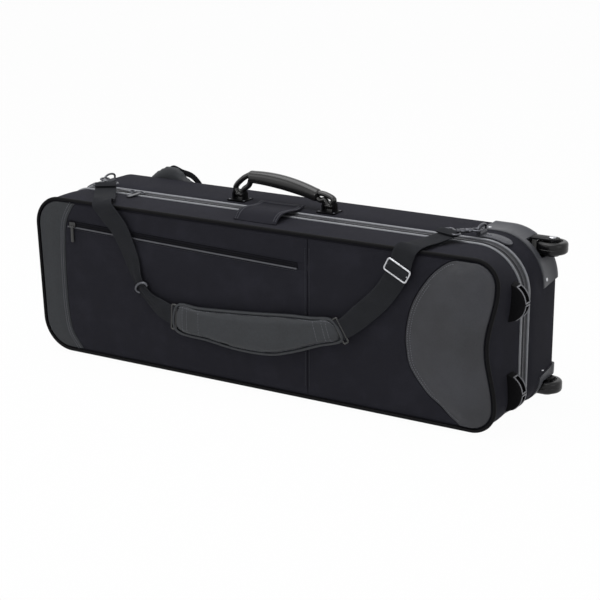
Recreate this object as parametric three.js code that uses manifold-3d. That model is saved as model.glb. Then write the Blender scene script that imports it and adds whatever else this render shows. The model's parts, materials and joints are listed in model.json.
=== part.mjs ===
// Trombone case on wheels, standing on its long narrow side as it does when it is carried or parked.
// Millimetres, +Z up. +X runs along the case to the wheel end and +Y from the lid to the back.
import * as THREE from "three";
import { mergeVertices } from "three/addons/utils/BufferGeometryUtils.js";
import Module from "manifold-3d";

const wasm = await Module();
wasm.setup();

// Clearance between pieces that touch, and how far a cutting tool runs past what it cuts
const gap = 0.3;
const overrun = 4;

// The moulded body
const body = {
  length: 905,
  depth: 225,
  height: 279,
  top_left_radius: 50,
  bottom_left_radius: 58,
  top_right_radius: 78,
  bottom_right_radius: 45,
  left_lean: 7,
  panel_right_radius: 40,
  waist: 16,
  edge_round: 9,
  edge_lead: 3,
  edge_step: 1.2,
  edge_depth: 5,
  back_swell: 2.5,
  swell_run: 15,
};
const wall = { cover: 2.5, shell: 10, lining: 1.5 };
const foot = { height: 9, radius: 12, from_end: 120, from_face: 30, base_radius: 14 };

// The zip band that parts the lid from the base
const zip = {
  split_y: 102.75,
  band_half: 14.5,
  bead_radius: 2.5,
  tape: 1.8,
  strip: 1.8,
};
const front_bead = { radius: 3, forward: 0.4 };

// Panels sewn on the lid's face
const panel = { thickness: 2.2, margin: 10 };
const pocket = { seam: 114, tape_height: 11, tape: 1.5 };
const pocket_zip_shares = [[-0.846, 0.846], [0.208, 0.806]];
const patch = { thickness: 3.5, crown: 6, crown_share: 0.92 };
const flap = { left: -47, right: 37, front_y: 25, depth: 125, lean_left: 25, lean_right: 19, thickness: 2, bulge: 12 };

// Rise of the flap over the lid at shares of its depth, as shares of its bulge
const flap_rises = [
  [0.064, 0.5], [0.144, 0.85], [0.264, 1], [0.424, 0.87], [0.584, 0.6], [0.728, 0.38], [0.856, 0.27], [1, 0.27],
];

// Inner edge of the leatherette on the narrow end and left edge of the bell patch,
// as shares of half the length and of the height
const crescent_edge_shares = [
  [-0.778, 1.043], [-0.792, 1.011], [-0.827, 0.943], [-0.854, 0.853], [-0.863, 0.735], [-0.865, 0.466],
  [-0.859, 0.265], [-0.843, 0.133], [-0.801, 0.036], [-0.773, -0.032],
];
const patch_edge_shares = [
  [0.884, 1.043], [0.859, 0.993], [0.817, 0.968], [0.779, 0.925], [0.741, 0.864], [0.704, 0.778],
  [0.675, 0.685], [0.660, 0.591], [0.653, 0.498], [0.657, 0.412], [0.671, 0.323], [0.704, 0.244],
  [0.750, 0.165], [0.794, 0.118], [0.830, 0.068], [0.870, 0.022], [0.884, -0.032],
];

// Skids on the lid's wheel end
const skid = {
  radius: 31,
  beyond: 24,
  y_low: 46,
  y_high: 69,
  upper_share: 0.728,
  lower_share: 0.197,
  root: 16,
  frame: 4,
  rib: 2,
  pocket_depth: 5,
};
const skid_window_angle = 60;

// Wheels, their forks and the corner guards of the base
const wheel = {
  radius: 26,
  width: 20,
  hub_radius: 17,
  hub_inset: 1,
  edge: 5,
  from_edge: 21,
  y: 207,
};
const axle = { radius: 4, head_radius: 6, head: 2.5 };
const fork = { arm: 3, arm_half: 12, web: 4, side_clearance: 1.2, wheel_clearance: 5 };
const guard = { thickness: 3, y_low: 166, lip: 24, run_on_top: 30, run_on_end: 10, run_below: 40 };
const post = { wall: 9 };

// Carrying handle
const handle = {
  x: -21,
  y: 145,
  half_span: 91,
  pin_height: 11,
  pin_radius: 2.5,
  plate: [36, 30, 2],
  ear: 4,
  ear_half: 7,
  ear_gap: 17,
  barrel_radius: 5.5,
  grip_height: 24.5,
  grip_half: 69,
  grip_arch: 6,
  grip_radius: 12.5,
  grip_end_radius: 10.5,
  cant: 9,
  strand: 4,
  strand_foot: 6,
  strand_head: 4.6,
  strand_bow: 5,
};

// Shoulder strap and what carries it
// A route lists shares of the way in X from the hook to the web's end, of the depth and of the height,
// and then the way that the web faces
const strap = { web: 38, thickness: 2.4 };
const left_route_shares = [
  [0.0950, 0.2200, 1.0272, 0, 0, 1], [0.2090, 0.0533, 1.0301, 0, 0, 1], [0.2494, -0.0267, 1.0215, 0, -0.7, 0.7],
  [0.2896, -0.0471, 0.9821, 0, -1, 0], [0.4081, -0.0422, 0.8710, 0, -1, 0], [0.5097, -0.0422, 0.6989, 0, -1, 0],
  [0.5766, -0.0489, 0.5484, -0.2, -1, 0], [0.6630, -0.0578, 0.4695, -0.2, -1, 0],
  [0.8065, -0.0689, 0.4050, 0, -1, 0], [0.9254, -0.0689, 0.3728, 0, -1, 0], [1, -0.0689, 0.3584, 0, -1, 0],
];
const left_end_share = -0.270;
const left_width_shares = [1, 1, 1, 1, 1, 0.95, 0.8, 0.55, 0.55, 0.85, 0.9, 0.9];
const right_route_shares = [
  [0.0731, 0.2000, 1.0272, 0, 0, 1], [0.1183, 0.0622, 1.0258, 0, 0, 1], [0.1563, -0.0200, 1.0165, 0, -0.7, 0.7],
  [0.1892, -0.0427, 0.9785, 0, -1, 0], [0.2395, -0.0422, 0.8710, 0, -1, 0], [0.3964, -0.0422, 0.7133, 0, -1, 0],
  [0.5985, -0.0489, 0.5842, 0, -1, 0], [0.7655, -0.0689, 0.4910, 0, -1, 0], [0.8889, -0.0689, 0.4624, 0, -1, 0],
  [1, -0.0689, 0.4480, 0, -1, 0],
];
const right_end_share = 0.327;
const right_width_shares = [1, 1, 1, 1, 1, 1, 1, 1, 0.9, 0.9, 0.9];
const web_steps = 22;
const strap_loop = { at_share: 0.67, half_length: 15, half_depth: 6.5, tube: 2.4 };
const strap_frame = { way_share: 0.2395, up_share: 0.885, y: -13, half_length: 21.5, half_height: 10.5, tube: 1.4 };
const strap_frame_angle = 27;
const shoulder_pad = {
  back: -9,
  thickness: 13,
  crown: 3,
  crown_share: 0.9,
};
const shoulder_pad_outline_shares = [
  [-0.308, 0.452], [-0.207, 0.459], [0.021, 0.487], [0.196, 0.516], [0.280, 0.523], [0.372, 0.530],
  [0.419, 0.419], [0.322, 0.355], [0.193, 0.276], [0.107, 0.240], [-0.028, 0.233], [-0.162, 0.254],
  [-0.319, 0.290],
];
const tab = { length: 54, width: 24, thickness: 2.4, roll: 4.4, y: 133 };
const dring = { left_from_end: 62, right_from_end: 92, tube: 1.9, half_width: 15, leg: 9, crown: 8 };
const hook = {
  rise: 7.6,
  ring: 7.5,
  tube: 1.8,
  slack: 2.5,
  barrel: 4.2,
  barrel_length: 27,
  bar_half: 21.5,
  bar_tube: 1.9,
  bar_depth: 13,
};
const hook_angle = { left: 40, right: -44 };

// Zip sliders
const slider = { length: 13, width: 15, height: 3.4, bridge: 1.6, bridge_width: 4, pull_width: 9, pull: 1.6 };
const main_slider = { left_x: -316, right_x: -296, left_pull: 24, right_pull: 42 };
const pocket_slider = { along: 12, length: 13, height: 9, depth: 2.6, eye: 1.2, pull_length: 28, pull_width: 6 };

// Backpack straps on the back; routes are shares of half the length and of the height
const backpack = { pad_width: 62, pad_thickness: 15, web: 30, web_thickness: 2.2, web_inset: 4 };
const upper_pad_route_shares = [
  [-0.857, 0.839], [-0.813, 0.900], [-0.762, 0.961], [-0.707, 0.989], [-0.650, 0.964],
  [-0.561, 0.900], [-0.442, 0.860], [-0.221, 0.842], [0.177, 0.828],
];
const upper_web_route_shares = [[0.178, 0.828], [0.442, 0.814], [0.729, 0.799]];
const lower_pad_route_shares = [[-0.857, 0.190], [-0.663, 0.176], [-0.442, 0.168], [-0.221, 0.172], [0.177, 0.183]];
const lower_web_route_shares = [[0.178, 0.183], [0.442, 0.194], [0.729, 0.204]];

// What the foam inside holds
const cavity = {
  bell_side_wall: 16.6,
  bell_end_wall: 11.6,
  bell_lead: 20,
  bell_depth: 34,
  rest_x: -60,
  rest_length: 40,
  tube_radius: 17,
  box_from_end: 22.6,
  box_from_below: 36.1,
  box_from_above: 33.1,
  box_length: 170,
  box_wall: 4,
  block_depth: 62,
};
const tube_pitch_share = 0.2294;

// Steps of the round shapes
const corner_steps = 7;
const side_steps = 8;
const bead_sides = 6;
const round_steps = 24;
const small_steps = 12;

const low = foot.height;
const high = low + body.height;
const right = body.length / 2;
const left = -right;
const middle_z = (low + high) / 2;
const lid_rim = zip.split_y - zip.band_half - zip.bead_radius - gap;
const base_rim = zip.split_y + zip.band_half + zip.bead_radius + gap;
const top_z = high + body.back_swell;
const shell_skin = wall.cover + gap;
const lining_skin = shell_skin + wall.shell + gap;
const inner_skin = lining_skin + wall.lining + gap;
const bell_radius = body.height / 2 - inner_skin - cavity.bell_side_wall;
const ring_xs = { left: left + dring.left_from_end, right: right - dring.right_from_end };

const vec = (x, y, z) => new THREE.Vector3(x, y, z);
const flat = (x, y) => new THREE.Vector2(x, y);
const placed = (shares) => shares.map(([across, up]) => [across * right, low + up * body.height]);
const degrees = (angle) => THREE.MathUtils.degToRad(angle);
const mix = THREE.MathUtils.lerp;

// Finishes
const nylon = new THREE.MeshStandardMaterial({ color: 0x17181b, roughness: 0.92 });
const leatherette = new THREE.MeshStandardMaterial({ color: 0x3d3f45, roughness: 0.55 });
const webbing = new THREE.MeshStandardMaterial({ color: 0x1c1d20, roughness: 0.85 });
const foam_board = new THREE.MeshStandardMaterial({ color: 0x2b2c30, roughness: 0.9 });
const plush = new THREE.MeshStandardMaterial({ color: 0x24262c, roughness: 1 });
const piping_grey = new THREE.MeshStandardMaterial({ color: 0x8b8d92, roughness: 0.45 });
const piping_black = new THREE.MeshStandardMaterial({ color: 0x0c0c0e, roughness: 0.5 });
const zip_tape = new THREE.MeshStandardMaterial({ color: 0x25262a, roughness: 0.9 });
const plastic = new THREE.MeshStandardMaterial({ color: 0x2e3036, roughness: 0.5 });
const gloss_black = new THREE.MeshStandardMaterial({ color: 0x0b0b0d, roughness: 0.25 });
const rubber = new THREE.MeshStandardMaterial({ color: 0x121214, roughness: 0.6 });
const metal = new THREE.MeshStandardMaterial({ color: 0xb8babf, roughness: 0.28, metalness: 1 });

// Turns a closed surface so that its faces point out
function facing_out(geometry) {
  const at = geometry.attributes.position;
  const index = geometry.index.array;
  const [a, b, c] = [vec(0, 0, 0), vec(0, 0, 0), vec(0, 0, 0)];
  let volume = 0;
  for (let i = 0; i < index.length; i += 3) {
    a.fromBufferAttribute(at, index[i]);
    b.fromBufferAttribute(at, index[i + 1]);
    c.fromBufferAttribute(at, index[i + 2]);
    volume += a.dot(b.cross(c));
  }
  if (volume < 0) {
    for (let i = 0; i < index.length; i += 3) {
      [index[i + 1], index[i + 2]] = [index[i + 2], index[i + 1]];
    }
  }
  return geometry;
}

// Skins rings of equally many points, and closes its ends or joins the last ring to the first
// A span that runs back towards the front is split the other way, so that nested skins stay parallel
function skin(rings, first_cap, last_cap = first_cap, closed = false) {
  const count = rings[0].length;
  const index = [];
  const spans = closed ? rings.length : rings.length - 1;
  for (let r = 0; r < spans; r += 1) {
    const following = (r + 1) % rings.length;
    const here = r * count;
    const next = following * count;
    const back = rings[following][0].y < rings[r][0].y;
    for (let i = 0; i < count; i += 1) {
      const j = (i + 1) % count;
      if (back) index.push(here + i, here + j, next + i, here + j, next + j, next + i);
      else index.push(here + i, here + j, next + j, here + i, next + j, next + i);
    }
  }
  if (!closed) {
    const last = (rings.length - 1) * count;
    for (const [a, b, c] of ordered_faces(first_cap)) index.push(a, c, b);
    for (const [a, b, c] of ordered_faces(last_cap)) index.push(last + a, last + b, last + c);
  }
  const geometry = new THREE.BufferGeometry();
  const numbers = rings.flat().flatMap((p) => [p.x, p.y, p.z]);
  geometry.setAttribute("position", new THREE.Float32BufferAttribute(numbers, 3));
  geometry.setIndex(index);
  return facing_out(geometry);
}

// Triangles of a flat outline, turned the way the outline itself runs
function ordered_faces(points) {
  const faces = THREE.ShapeUtils.triangulateShape(points, []);
  return THREE.ShapeUtils.isClockWise(points) ? faces.map(([a, b, c]) => [a, c, b]) : faces;
}

// Moves a flat section along stations that each hold a place and two directions
function sweep(section, stations, closed = false) {
  const place = (s, p) => s.at.clone().addScaledVector(s.u, p.x).addScaledVector(s.v, p.y);
  const rings = stations.map((s) => section.map((p) => place(s, p)));
  return skin(rings, section, section, closed);
}

// A round or oval section for a sweep
function round_section(radius_u, radius_v = radius_u, sides = bead_sides) {
  const turn = (i) => (2 * Math.PI * i) / sides;
  return Array.from({ length: sides }, (_, i) => flat(radius_u * Math.cos(turn(i)), radius_v * Math.sin(turn(i))));
}

// A rectangular section for a sweep
function strip_section(u_low, u_high, v_low, v_high) {
  return [flat(u_low, v_low), flat(u_high, v_low), flat(u_high, v_high), flat(u_low, v_high)];
}

// Stations along a curve of points, with the given side direction at each point
function stations_of(points, side_at) {
  return points.map((at, i) => {
    const before = points[Math.max(i - 1, 0)];
    const after = points[Math.min(i + 1, points.length - 1)];
    const along = after.clone().sub(before).normalize();
    const side = side_at(i, along).clone();
    const u = side.addScaledVector(along, -side.dot(along)).normalize();
    return { at, u, v: along.clone().cross(u).normalize() };
  });
}

// A box between two corners
function box(low_corner, high_corner) {
  const size = high_corner.clone().sub(low_corner);
  const middle = low_corner.clone().add(high_corner).multiplyScalar(1 / 2);
  const geometry = new THREE.BoxGeometry(size.x, size.y, size.z);
  return geometry.translate(middle.x, middle.y, middle.z);
}

// A cylinder along X, Y or Z around a place
function rod(axis, at, radius, length, sides = small_steps) {
  const geometry = new THREE.CylinderGeometry(radius, radius, length, sides);
  if (axis === "x") geometry.rotateZ(Math.PI / 2);
  if (axis === "z") geometry.rotateX(Math.PI / 2);
  return geometry.translate(at.x, at.y, at.z);
}

// Boolean work on closed surfaces
function to_solid(geometry) {
  const bare = geometry.clone();
  bare.deleteAttribute("normal");
  bare.deleteAttribute("uv");
  const merged = mergeVertices(bare);
  const vertProperties = merged.attributes.position.array;
  const triVerts = new Uint32Array(merged.index.array);
  return new wasm.Manifold(new wasm.Mesh({ numProp: 3, vertProperties, triVerts }));
}
function to_geometry(solid) {
  const made = solid.getMesh();
  const geometry = new THREE.BufferGeometry();
  geometry.setAttribute("position", new THREE.BufferAttribute(made.vertProperties, 3));
  geometry.setIndex(new THREE.BufferAttribute(made.triVerts, 1));
  return geometry;
}
function cut(geometry, ...tools) {
  return to_geometry(tools.reduce((solid, tool) => solid.subtract(to_solid(tool)), to_solid(geometry)));
}
function join(geometry, ...others) {
  return to_geometry(others.reduce((solid, other) => solid.add(to_solid(other)), to_solid(geometry)));
}
function overlap_of(geometry, other) {
  return to_geometry(to_solid(geometry).intersect(to_solid(other)));
}

// Outline of the body in X and Z, anticlockwise from the bottom right corner, drawn in by an inset
function outline(radii, waist, inset) {
  const points = [];
  const quarter = Math.PI / 2;
  const corner = (x, z, radius, turn) => {
    for (let i = 0; i <= corner_steps; i += 1) {
      const angle = quarter * (turn + i / corner_steps);
      points.push(flat(x + (radius - inset) * Math.cos(angle), z + (radius - inset) * Math.sin(angle)));
    }
  };
  corner(right - radii.bottom_right, low + radii.bottom_right, radii.bottom_right, -1);
  for (let i = 1; i < side_steps; i += 1) {
    const along = i / side_steps;
    const z = mix(low + radii.bottom_right, high - radii.top_right, along);
    points.push(flat(right - inset - waist * Math.sin(Math.PI * along) ** 2, z));
  }
  corner(right - radii.top_right, high - radii.top_right, radii.top_right, 0);
  corner(left + radii.top_left, high - radii.top_left, radii.top_left, 1);
  corner(left + body.left_lean + radii.bottom_left, low + radii.bottom_left, radii.bottom_left, 2);
  return points;
}
const rim_radii = {
  top_left: body.top_left_radius,
  bottom_left: body.bottom_left_radius,
  top_right: body.top_right_radius,
  bottom_right: body.bottom_right_radius,
};
const panel_radii = { ...rim_radii, top_right: body.panel_right_radius, bottom_right: body.panel_right_radius };

// Outline of the lid and of the base at a depth
function lid_outline(y, inset) {
  const share = THREE.MathUtils.clamp((y - body.edge_depth) / (lid_rim - body.edge_depth), 0, 1);
  const face = outline(panel_radii, body.waist, inset);
  return outline(rim_radii, 0, inset).map((p, i) => face[i].clone().lerp(p, share));
}
function base_outline(y, inset) {
  const share = THREE.MathUtils.clamp((y - base_rim) / body.swell_run, 0, 1);
  return outline(rim_radii, 0, inset - body.back_swell * share);
}
const ring_at = (points, y) => points.map((p) => vec(p.x, y, p.y));

// Insets and depths from the middle of a face to the rim, for a surface that lies a depth under the outside
function lid_profile(under, rim_y) {
  return [
    [body.edge_round + under, under],
    [body.edge_lead + under, body.edge_step + under],
    [under, body.edge_depth + under],
    [under, lid_rim],
    ...(rim_y > lid_rim ? [[under, rim_y]] : []),
  ];
}
function base_profile(under, rim_y) {
  return [
    [body.edge_round + under, body.depth - under],
    [body.edge_lead + under, body.depth - body.edge_step - under],
    [under, body.depth - body.edge_depth - under],
    [under, base_rim + body.swell_run],
    [under, base_rim],
    ...(rim_y < base_rim ? [[under, rim_y]] : []),
  ];
}

// A dish with a wall, or the whole space inside its outer surface
function dish(section, profile, under, thickness, rim_y) {
  const outer = profile(under, rim_y);
  const inner = profile(under + thickness, rim_y).reverse();
  const rings = [...outer, ...inner].map(([inset, y]) => section(y, inset));
  const depths = [...outer, ...inner].map(([, y]) => y);
  return skin(rings.map((points, i) => ring_at(points, depths[i])), rings[0], rings.at(-1));
}
function filled(section, profile, under, rim_y) {
  const steps = profile(under, rim_y);
  const rings = steps.map(([inset, y]) => section(y, inset));
  return skin(rings.map((points, i) => ring_at(points, steps[i][1])), rings[0], rings.at(-1));
}

// Stations round an outline, with u pointing out of the body and v along Y
function outline_stations(points, y) {
  return points.map((p, i) => {
    const before = points[(i + points.length - 1) % points.length];
    const after = points[(i + 1) % points.length];
    const out = flat(after.y - before.y, before.x - after.x).normalize();
    return { at: vec(p.x, y, p.y), u: vec(out.x, 0, out.y), v: vec(0, 1, 0) };
  });
}

// A flat plate on the lid's face, from an outline in X and Z
function face_plate(points, thickness, y_back) {
  const rings = [ring_at(points, y_back), ring_at(points, y_back - thickness)];
  return skin(rings, points);
}

const trombone_case = new THREE.Group();
function add(name, geometry, material, parent = trombone_case) {
  const mesh = new THREE.Mesh(geometry, material);
  mesh.name = name;
  parent.add(mesh);
  return mesh;
}

// Lid: fabric cover, board shell, plush lining, pipings and zip tape
add("lid_cover", dish(lid_outline, lid_profile, 0, wall.cover, lid_rim), nylon);
add("lid_shell", dish(lid_outline, lid_profile, shell_skin, wall.shell, zip.split_y - gap), foam_board);
add("lid_lining", dish(lid_outline, lid_profile, lining_skin, wall.lining, zip.split_y - gap), plush);
const face_outline = outline(panel_radii, body.waist, 0);
const front_stations = outline_stations(face_outline, -front_bead.forward);
add("lid_front_piping", sweep(round_section(front_bead.radius), front_stations, true), piping_black);

function zip_piping(name, y) {
  const stations = outline_stations(outline(rim_radii, 0, 0), y);
  add(name, sweep(round_section(zip.bead_radius), stations, true), piping_grey);
}
function tape_ring(name, y_low, y_high) {
  const stations = outline_stations(outline(rim_radii, 0, wall.cover), 0);
  add(name, sweep(strip_section(0, zip.tape, y_low, y_high), stations, true), zip_tape);
}
const tape_reach = zip.band_half - zip.bead_radius - gap;
zip_piping("lid_zip_piping", zip.split_y - zip.band_half);
zip_piping("base_zip_piping", zip.split_y + zip.band_half);
tape_ring("lid_zip_tape", zip.split_y - tape_reach, zip.split_y - gap);
tape_ring("base_zip_tape", zip.split_y + gap, zip.split_y + tape_reach);

// The fabric hinge under the zip band, on the bottom side
const strip_z = low + wall.cover - zip.tape;
const strip_ends = [left + body.left_lean + body.bottom_left_radius, right - body.bottom_right_radius];
add(
  "hinge_strip",
  box(
    vec(strip_ends[0], zip.split_y - tape_reach, strip_z - gap - zip.strip),
    vec(strip_ends[1], zip.split_y + tape_reach, strip_z - gap),
  ),
  nylon,
);

// Base: fabric cover, board shell with two wheel posts, and lining
const wheel_x = right;
const wheel_zs = { top: high - wheel.from_edge, bottom: low + wheel.from_edge };
const fork_half = wheel.width / 2 + fork.side_clearance + fork.arm;
const fork_x = wheel_x - wheel.radius - fork.wheel_clearance - fork.web;
const well_y = wheel.y - wheel.radius - fork.side_clearance;
function wheel_well(z, grow) {
  return box(
    vec(fork_x - gap - grow, well_y - grow, z - fork_half - gap - grow),
    vec(right + wheel.radius, body.depth + wheel.radius, z + fork_half + gap + grow),
  );
}
const wells = Object.values(wheel_zs).map((z) => wheel_well(z, 0));
const posts = Object.values(wheel_zs).map((z) => wheel_well(z, post.wall));
const post_spaces = Object.values(wheel_zs).map((z) => wheel_well(z, post.wall + gap));
add("base_cover", cut(dish(base_outline, base_profile, 0, wall.cover, base_rim), ...wells), nylon);
const shell_space = filled(base_outline, base_profile, shell_skin, zip.split_y + gap);
const board = dish(base_outline, base_profile, shell_skin, wall.shell, zip.split_y + gap);
const solid_posts = posts.map((tool) => overlap_of(tool, shell_space));
add("base_shell", cut(join(board, ...solid_posts), ...wells), foam_board);
const liner = dish(base_outline, base_profile, lining_skin, wall.lining, zip.split_y + gap);
add("base_lining", cut(liner, ...post_spaces), plush);

// Feet under the narrow side
function foot_at(name, x, y, top) {
  const points = [flat(0, 0), flat(foot.radius, 0), flat(foot.base_radius, top), flat(0, top)];
  const geometry = new THREE.LatheGeometry(points, small_steps).rotateX(Math.PI / 2);
  add(name, facing_out(mergeVertices(geometry)).translate(x, y, 0), rubber);
}
const foot_xs = { left: left + foot.from_end, right: right - foot.from_end };
for (const [side, x] of Object.entries(foot_xs)) {
  foot_at("base_foot_" + side, x, body.depth - foot.from_face, low - body.back_swell - gap);
  foot_at("lid_foot_" + side, x, foot.from_face, low - gap);
}

// Corner guards, bent round the wheel corners and over the back edge
const back_face = body.depth + gap;
const guard_section = [
  flat(0, guard.y_low),
  flat(guard.thickness, guard.y_low),
  flat(guard.thickness, body.depth - body.edge_step),
  flat(gap, back_face + guard.thickness),
  flat(-guard.lip, back_face + guard.thickness),
  flat(-guard.lip, back_face),
  flat(-body.edge_round, back_face),
  flat(-body.edge_lead, back_face - body.edge_step),
  flat(0, back_face - body.edge_depth),
];
function corner_guard(name, from_share, to_share, before, after, well) {
  const ring = outline(rim_radii, 0, -body.back_swell - gap).slice(from_share, to_share);
  const stations = outline_stations([before, ...ring, after], 0);
  stations[0].u = vec(before.x < ring[0].x ? 0 : 1, 0, before.x < ring[0].x ? -1 : 0);
  stations.at(-1).u = vec(after.x < ring.at(-1).x ? 0 : 1, 0, after.x < ring.at(-1).x ? 1 : 0);
  add(name, cut(sweep(guard_section, stations), well), plastic);
}
const outset = body.back_swell + gap;
const bottom_arc = [0, corner_steps + 1];
const top_arc = [corner_steps + side_steps, 2 * corner_steps + side_steps + 1];
corner_guard(
  "corner_guard_bottom",
  ...bottom_arc,
  flat(right - body.bottom_right_radius - guard.run_below, low - outset),
  flat(right + outset, low + body.bottom_right_radius + guard.run_on_end),
  wells[1],
);
corner_guard(
  "corner_guard_top",
  ...top_arc,
  flat(right + outset, high - body.top_right_radius - guard.run_on_end),
  flat(right - body.top_right_radius - guard.run_on_top, high + outset),
  wells[0],
);

// Wheels with forks, axles, tyres and hubs
function ring_of(profile) {
  const points = profile.map(([radius, height]) => flat(radius, height));
  const geometry = new THREE.LatheGeometry([...points, points[0]], round_steps).rotateX(Math.PI / 2);
  return facing_out(mergeVertices(geometry));
}
function wheel_set(place, z, outwards) {
  const at = vec(wheel_x, wheel.y, z);
  const half = wheel.width / 2;
  const inner = wheel.hub_radius + gap;
  const shoulder = wheel.radius - wheel.edge / 4;
  const tyre = ring_of([
    [inner, -half], [wheel.radius - wheel.edge, -half], [shoulder, wheel.edge / 3 - half],
    [wheel.radius, wheel.edge - half], [wheel.radius, half - wheel.edge], [shoulder, half - wheel.edge / 3],
    [wheel.radius - wheel.edge, half], [inner, half],
  ]);
  const hub_half = half - wheel.hub_inset;
  const bore = axle.radius + gap;
  const hub = ring_of([[bore, -hub_half], [wheel.hub_radius, -hub_half], [wheel.hub_radius, hub_half], [bore, hub_half]]);
  add("wheel_tyre_" + place, tyre.translate(at.x, at.y, at.z), rubber);
  add("wheel_hub_" + place, hub.translate(at.x, at.y, at.z), plastic);

  const arm = new THREE.Shape();
  arm.moveTo(fork_x, wheel.y - fork.arm_half);
  arm.lineTo(wheel_x, wheel.y - fork.arm_half);
  arm.absarc(wheel_x, wheel.y, fork.arm_half, -Math.PI / 2, Math.PI / 2);
  arm.lineTo(fork_x, wheel.y + fork.arm_half);
  arm.holes.push(new THREE.Path().absarc(wheel_x, wheel.y, bore, 0, 2 * Math.PI));
  const flat_arm = new THREE.ExtrudeGeometry(arm, { depth: fork.arm, bevelEnabled: false, curveSegments: small_steps });
  const web = box(
    vec(fork_x, wheel.y - fork.arm_half, z - fork_half),
    vec(fork_x + fork.web, wheel.y + fork.arm_half, z + fork_half),
  );
  const low_arm = flat_arm.clone().translate(0, 0, z - fork_half);
  const high_arm = flat_arm.clone().translate(0, 0, z + fork_half - fork.arm);
  add("wheel_fork_" + place, join(web, low_arm, high_arm), plastic);

  const stem = rod("z", at, axle.radius, 2 * fork_half);
  const head_z = z + outwards * (fork_half + gap + axle.head / 2);
  const head = rod("z", vec(at.x, at.y, head_z), axle.head_radius, axle.head);
  const neck = rod("z", vec(at.x, at.y, z + outwards * fork_half), axle.radius, 2 * axle.head);
  add("wheel_axle_" + place, join(stem, neck, head), metal);
}
wheel_set("top", wheel_zs.top, 1);
wheel_set("bottom", wheel_zs.bottom, -1);

// Carrying handle: mounts with pins, looped strands and a padded grip
const pin_z = top_z + handle.pin_height;
const mount_xs = { left: handle.x - handle.half_span, right: handle.x + handle.half_span };
function mount(side, x) {
  const [length, width, thickness] = handle.plate;
  const plate_low = top_z + gap;
  const plate = box(
    vec(x - length / 2, handle.y - width / 2, plate_low),
    vec(x + length / 2, handle.y + width / 2, plate_low + thickness),
  );
  const ears = [-1, 1].map((way) => {
    const inner = x + (way * handle.ear_gap) / 2;
    const outer = inner + way * handle.ear;
    const block = box(
      vec(Math.min(inner, outer), handle.y - handle.ear_half, plate_low),
      vec(Math.max(inner, outer), handle.y + handle.ear_half, pin_z),
    );
    return join(block, rod("x", vec((inner + outer) / 2, handle.y, pin_z), handle.ear_half, handle.ear));
  });
  const pin = rod("x", vec(x, handle.y, pin_z), handle.pin_radius, handle.ear_gap + handle.ear);
  add("handle_mount_" + side, join(plate, ...ears, pin), plastic);
}
const swing = new THREE.Group();
swing.position.set(handle.x, handle.y, pin_z);
trombone_case.add(swing);

function grip_centre(share) {
  const across = mix(-1, 1, share);
  const z = handle.grip_height + handle.grip_arch * (1 - across ** 2) - handle.cant * across;
  return vec(across * handle.grip_half, 0, z);
}
const grip_points = Array.from({ length: side_steps + 1 }, (_, i) => grip_centre(i / side_steps));
const grip_stations = stations_of(grip_points, () => vec(0, 1, 0));
const grip_rings = grip_stations.map((s, i) => {
  const bulge = Math.sin((Math.PI * i) / side_steps);
  const radius = mix(handle.grip_end_radius, handle.grip_radius, bulge);
  const section = round_section(radius, radius, small_steps);
  return section.map((p) => s.at.clone().addScaledVector(s.u, p.x).addScaledVector(s.v, p.y));
});
add("handle_grip", skin(grip_rings, round_section(1, 1, small_steps)), gloss_black, swing);

function loop(side, way) {
  const foot_x = way * handle.half_span;
  const eye = cut(
    rod("x", vec(foot_x, 0, 0), handle.barrel_radius, handle.ear_gap - 2 * gap),
    rod("x", vec(foot_x, 0, 0), handle.pin_radius + gap, handle.ear_gap + overrun),
  );
  const end = grip_centre(way < 0 ? 0 : 1);
  const along = grip_points.at(way < 0 ? 1 : -2).clone().sub(end).normalize();
  const head = end.clone().addScaledVector(along, -gap - handle.strand / 4);
  const strands = [-1, 1].map((sideways) => {
    const base = vec(foot_x, sideways * handle.strand_foot, handle.barrel_radius - handle.strand / 4);
    const tip = head.clone().add(vec(0, sideways * handle.strand_head, 0));
    const bow = base.clone().lerp(tip, 1 / 2).add(vec(way * handle.strand_bow, 0, handle.strand_bow));
    const curve = new THREE.CatmullRomCurve3([base, bow, tip]);
    const points = curve.getSpacedPoints(side_steps / 2);
    return sweep(round_section(handle.strand), stations_of(points, () => vec(0, 1, 0)));
  });
  const stop = end.clone().addScaledVector(along, gap + handle.grip_radius);
  const keep_out = box(
    vec(-handle.grip_radius, -handle.grip_radius - overrun, -handle.grip_radius - overrun),
    vec(handle.grip_radius, handle.grip_radius + overrun, handle.grip_radius + overrun),
  );
  keep_out.rotateY(Math.atan2(-along.z, along.x));
  keep_out.translate(stop.x - along.x * 2 * gap, stop.y, stop.z - along.z * 2 * gap);
  const pin_space = rod("x", vec(foot_x, 0, 0), handle.pin_radius + gap, handle.ear_gap + overrun);
  add("handle_loop_" + side, cut(join(eye, ...strands), keep_out, pin_space), gloss_black, swing);
}
mount("left", mount_xs.left);
mount("right", mount_xs.right);
loop("left", -1);
loop("right", 1);

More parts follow.
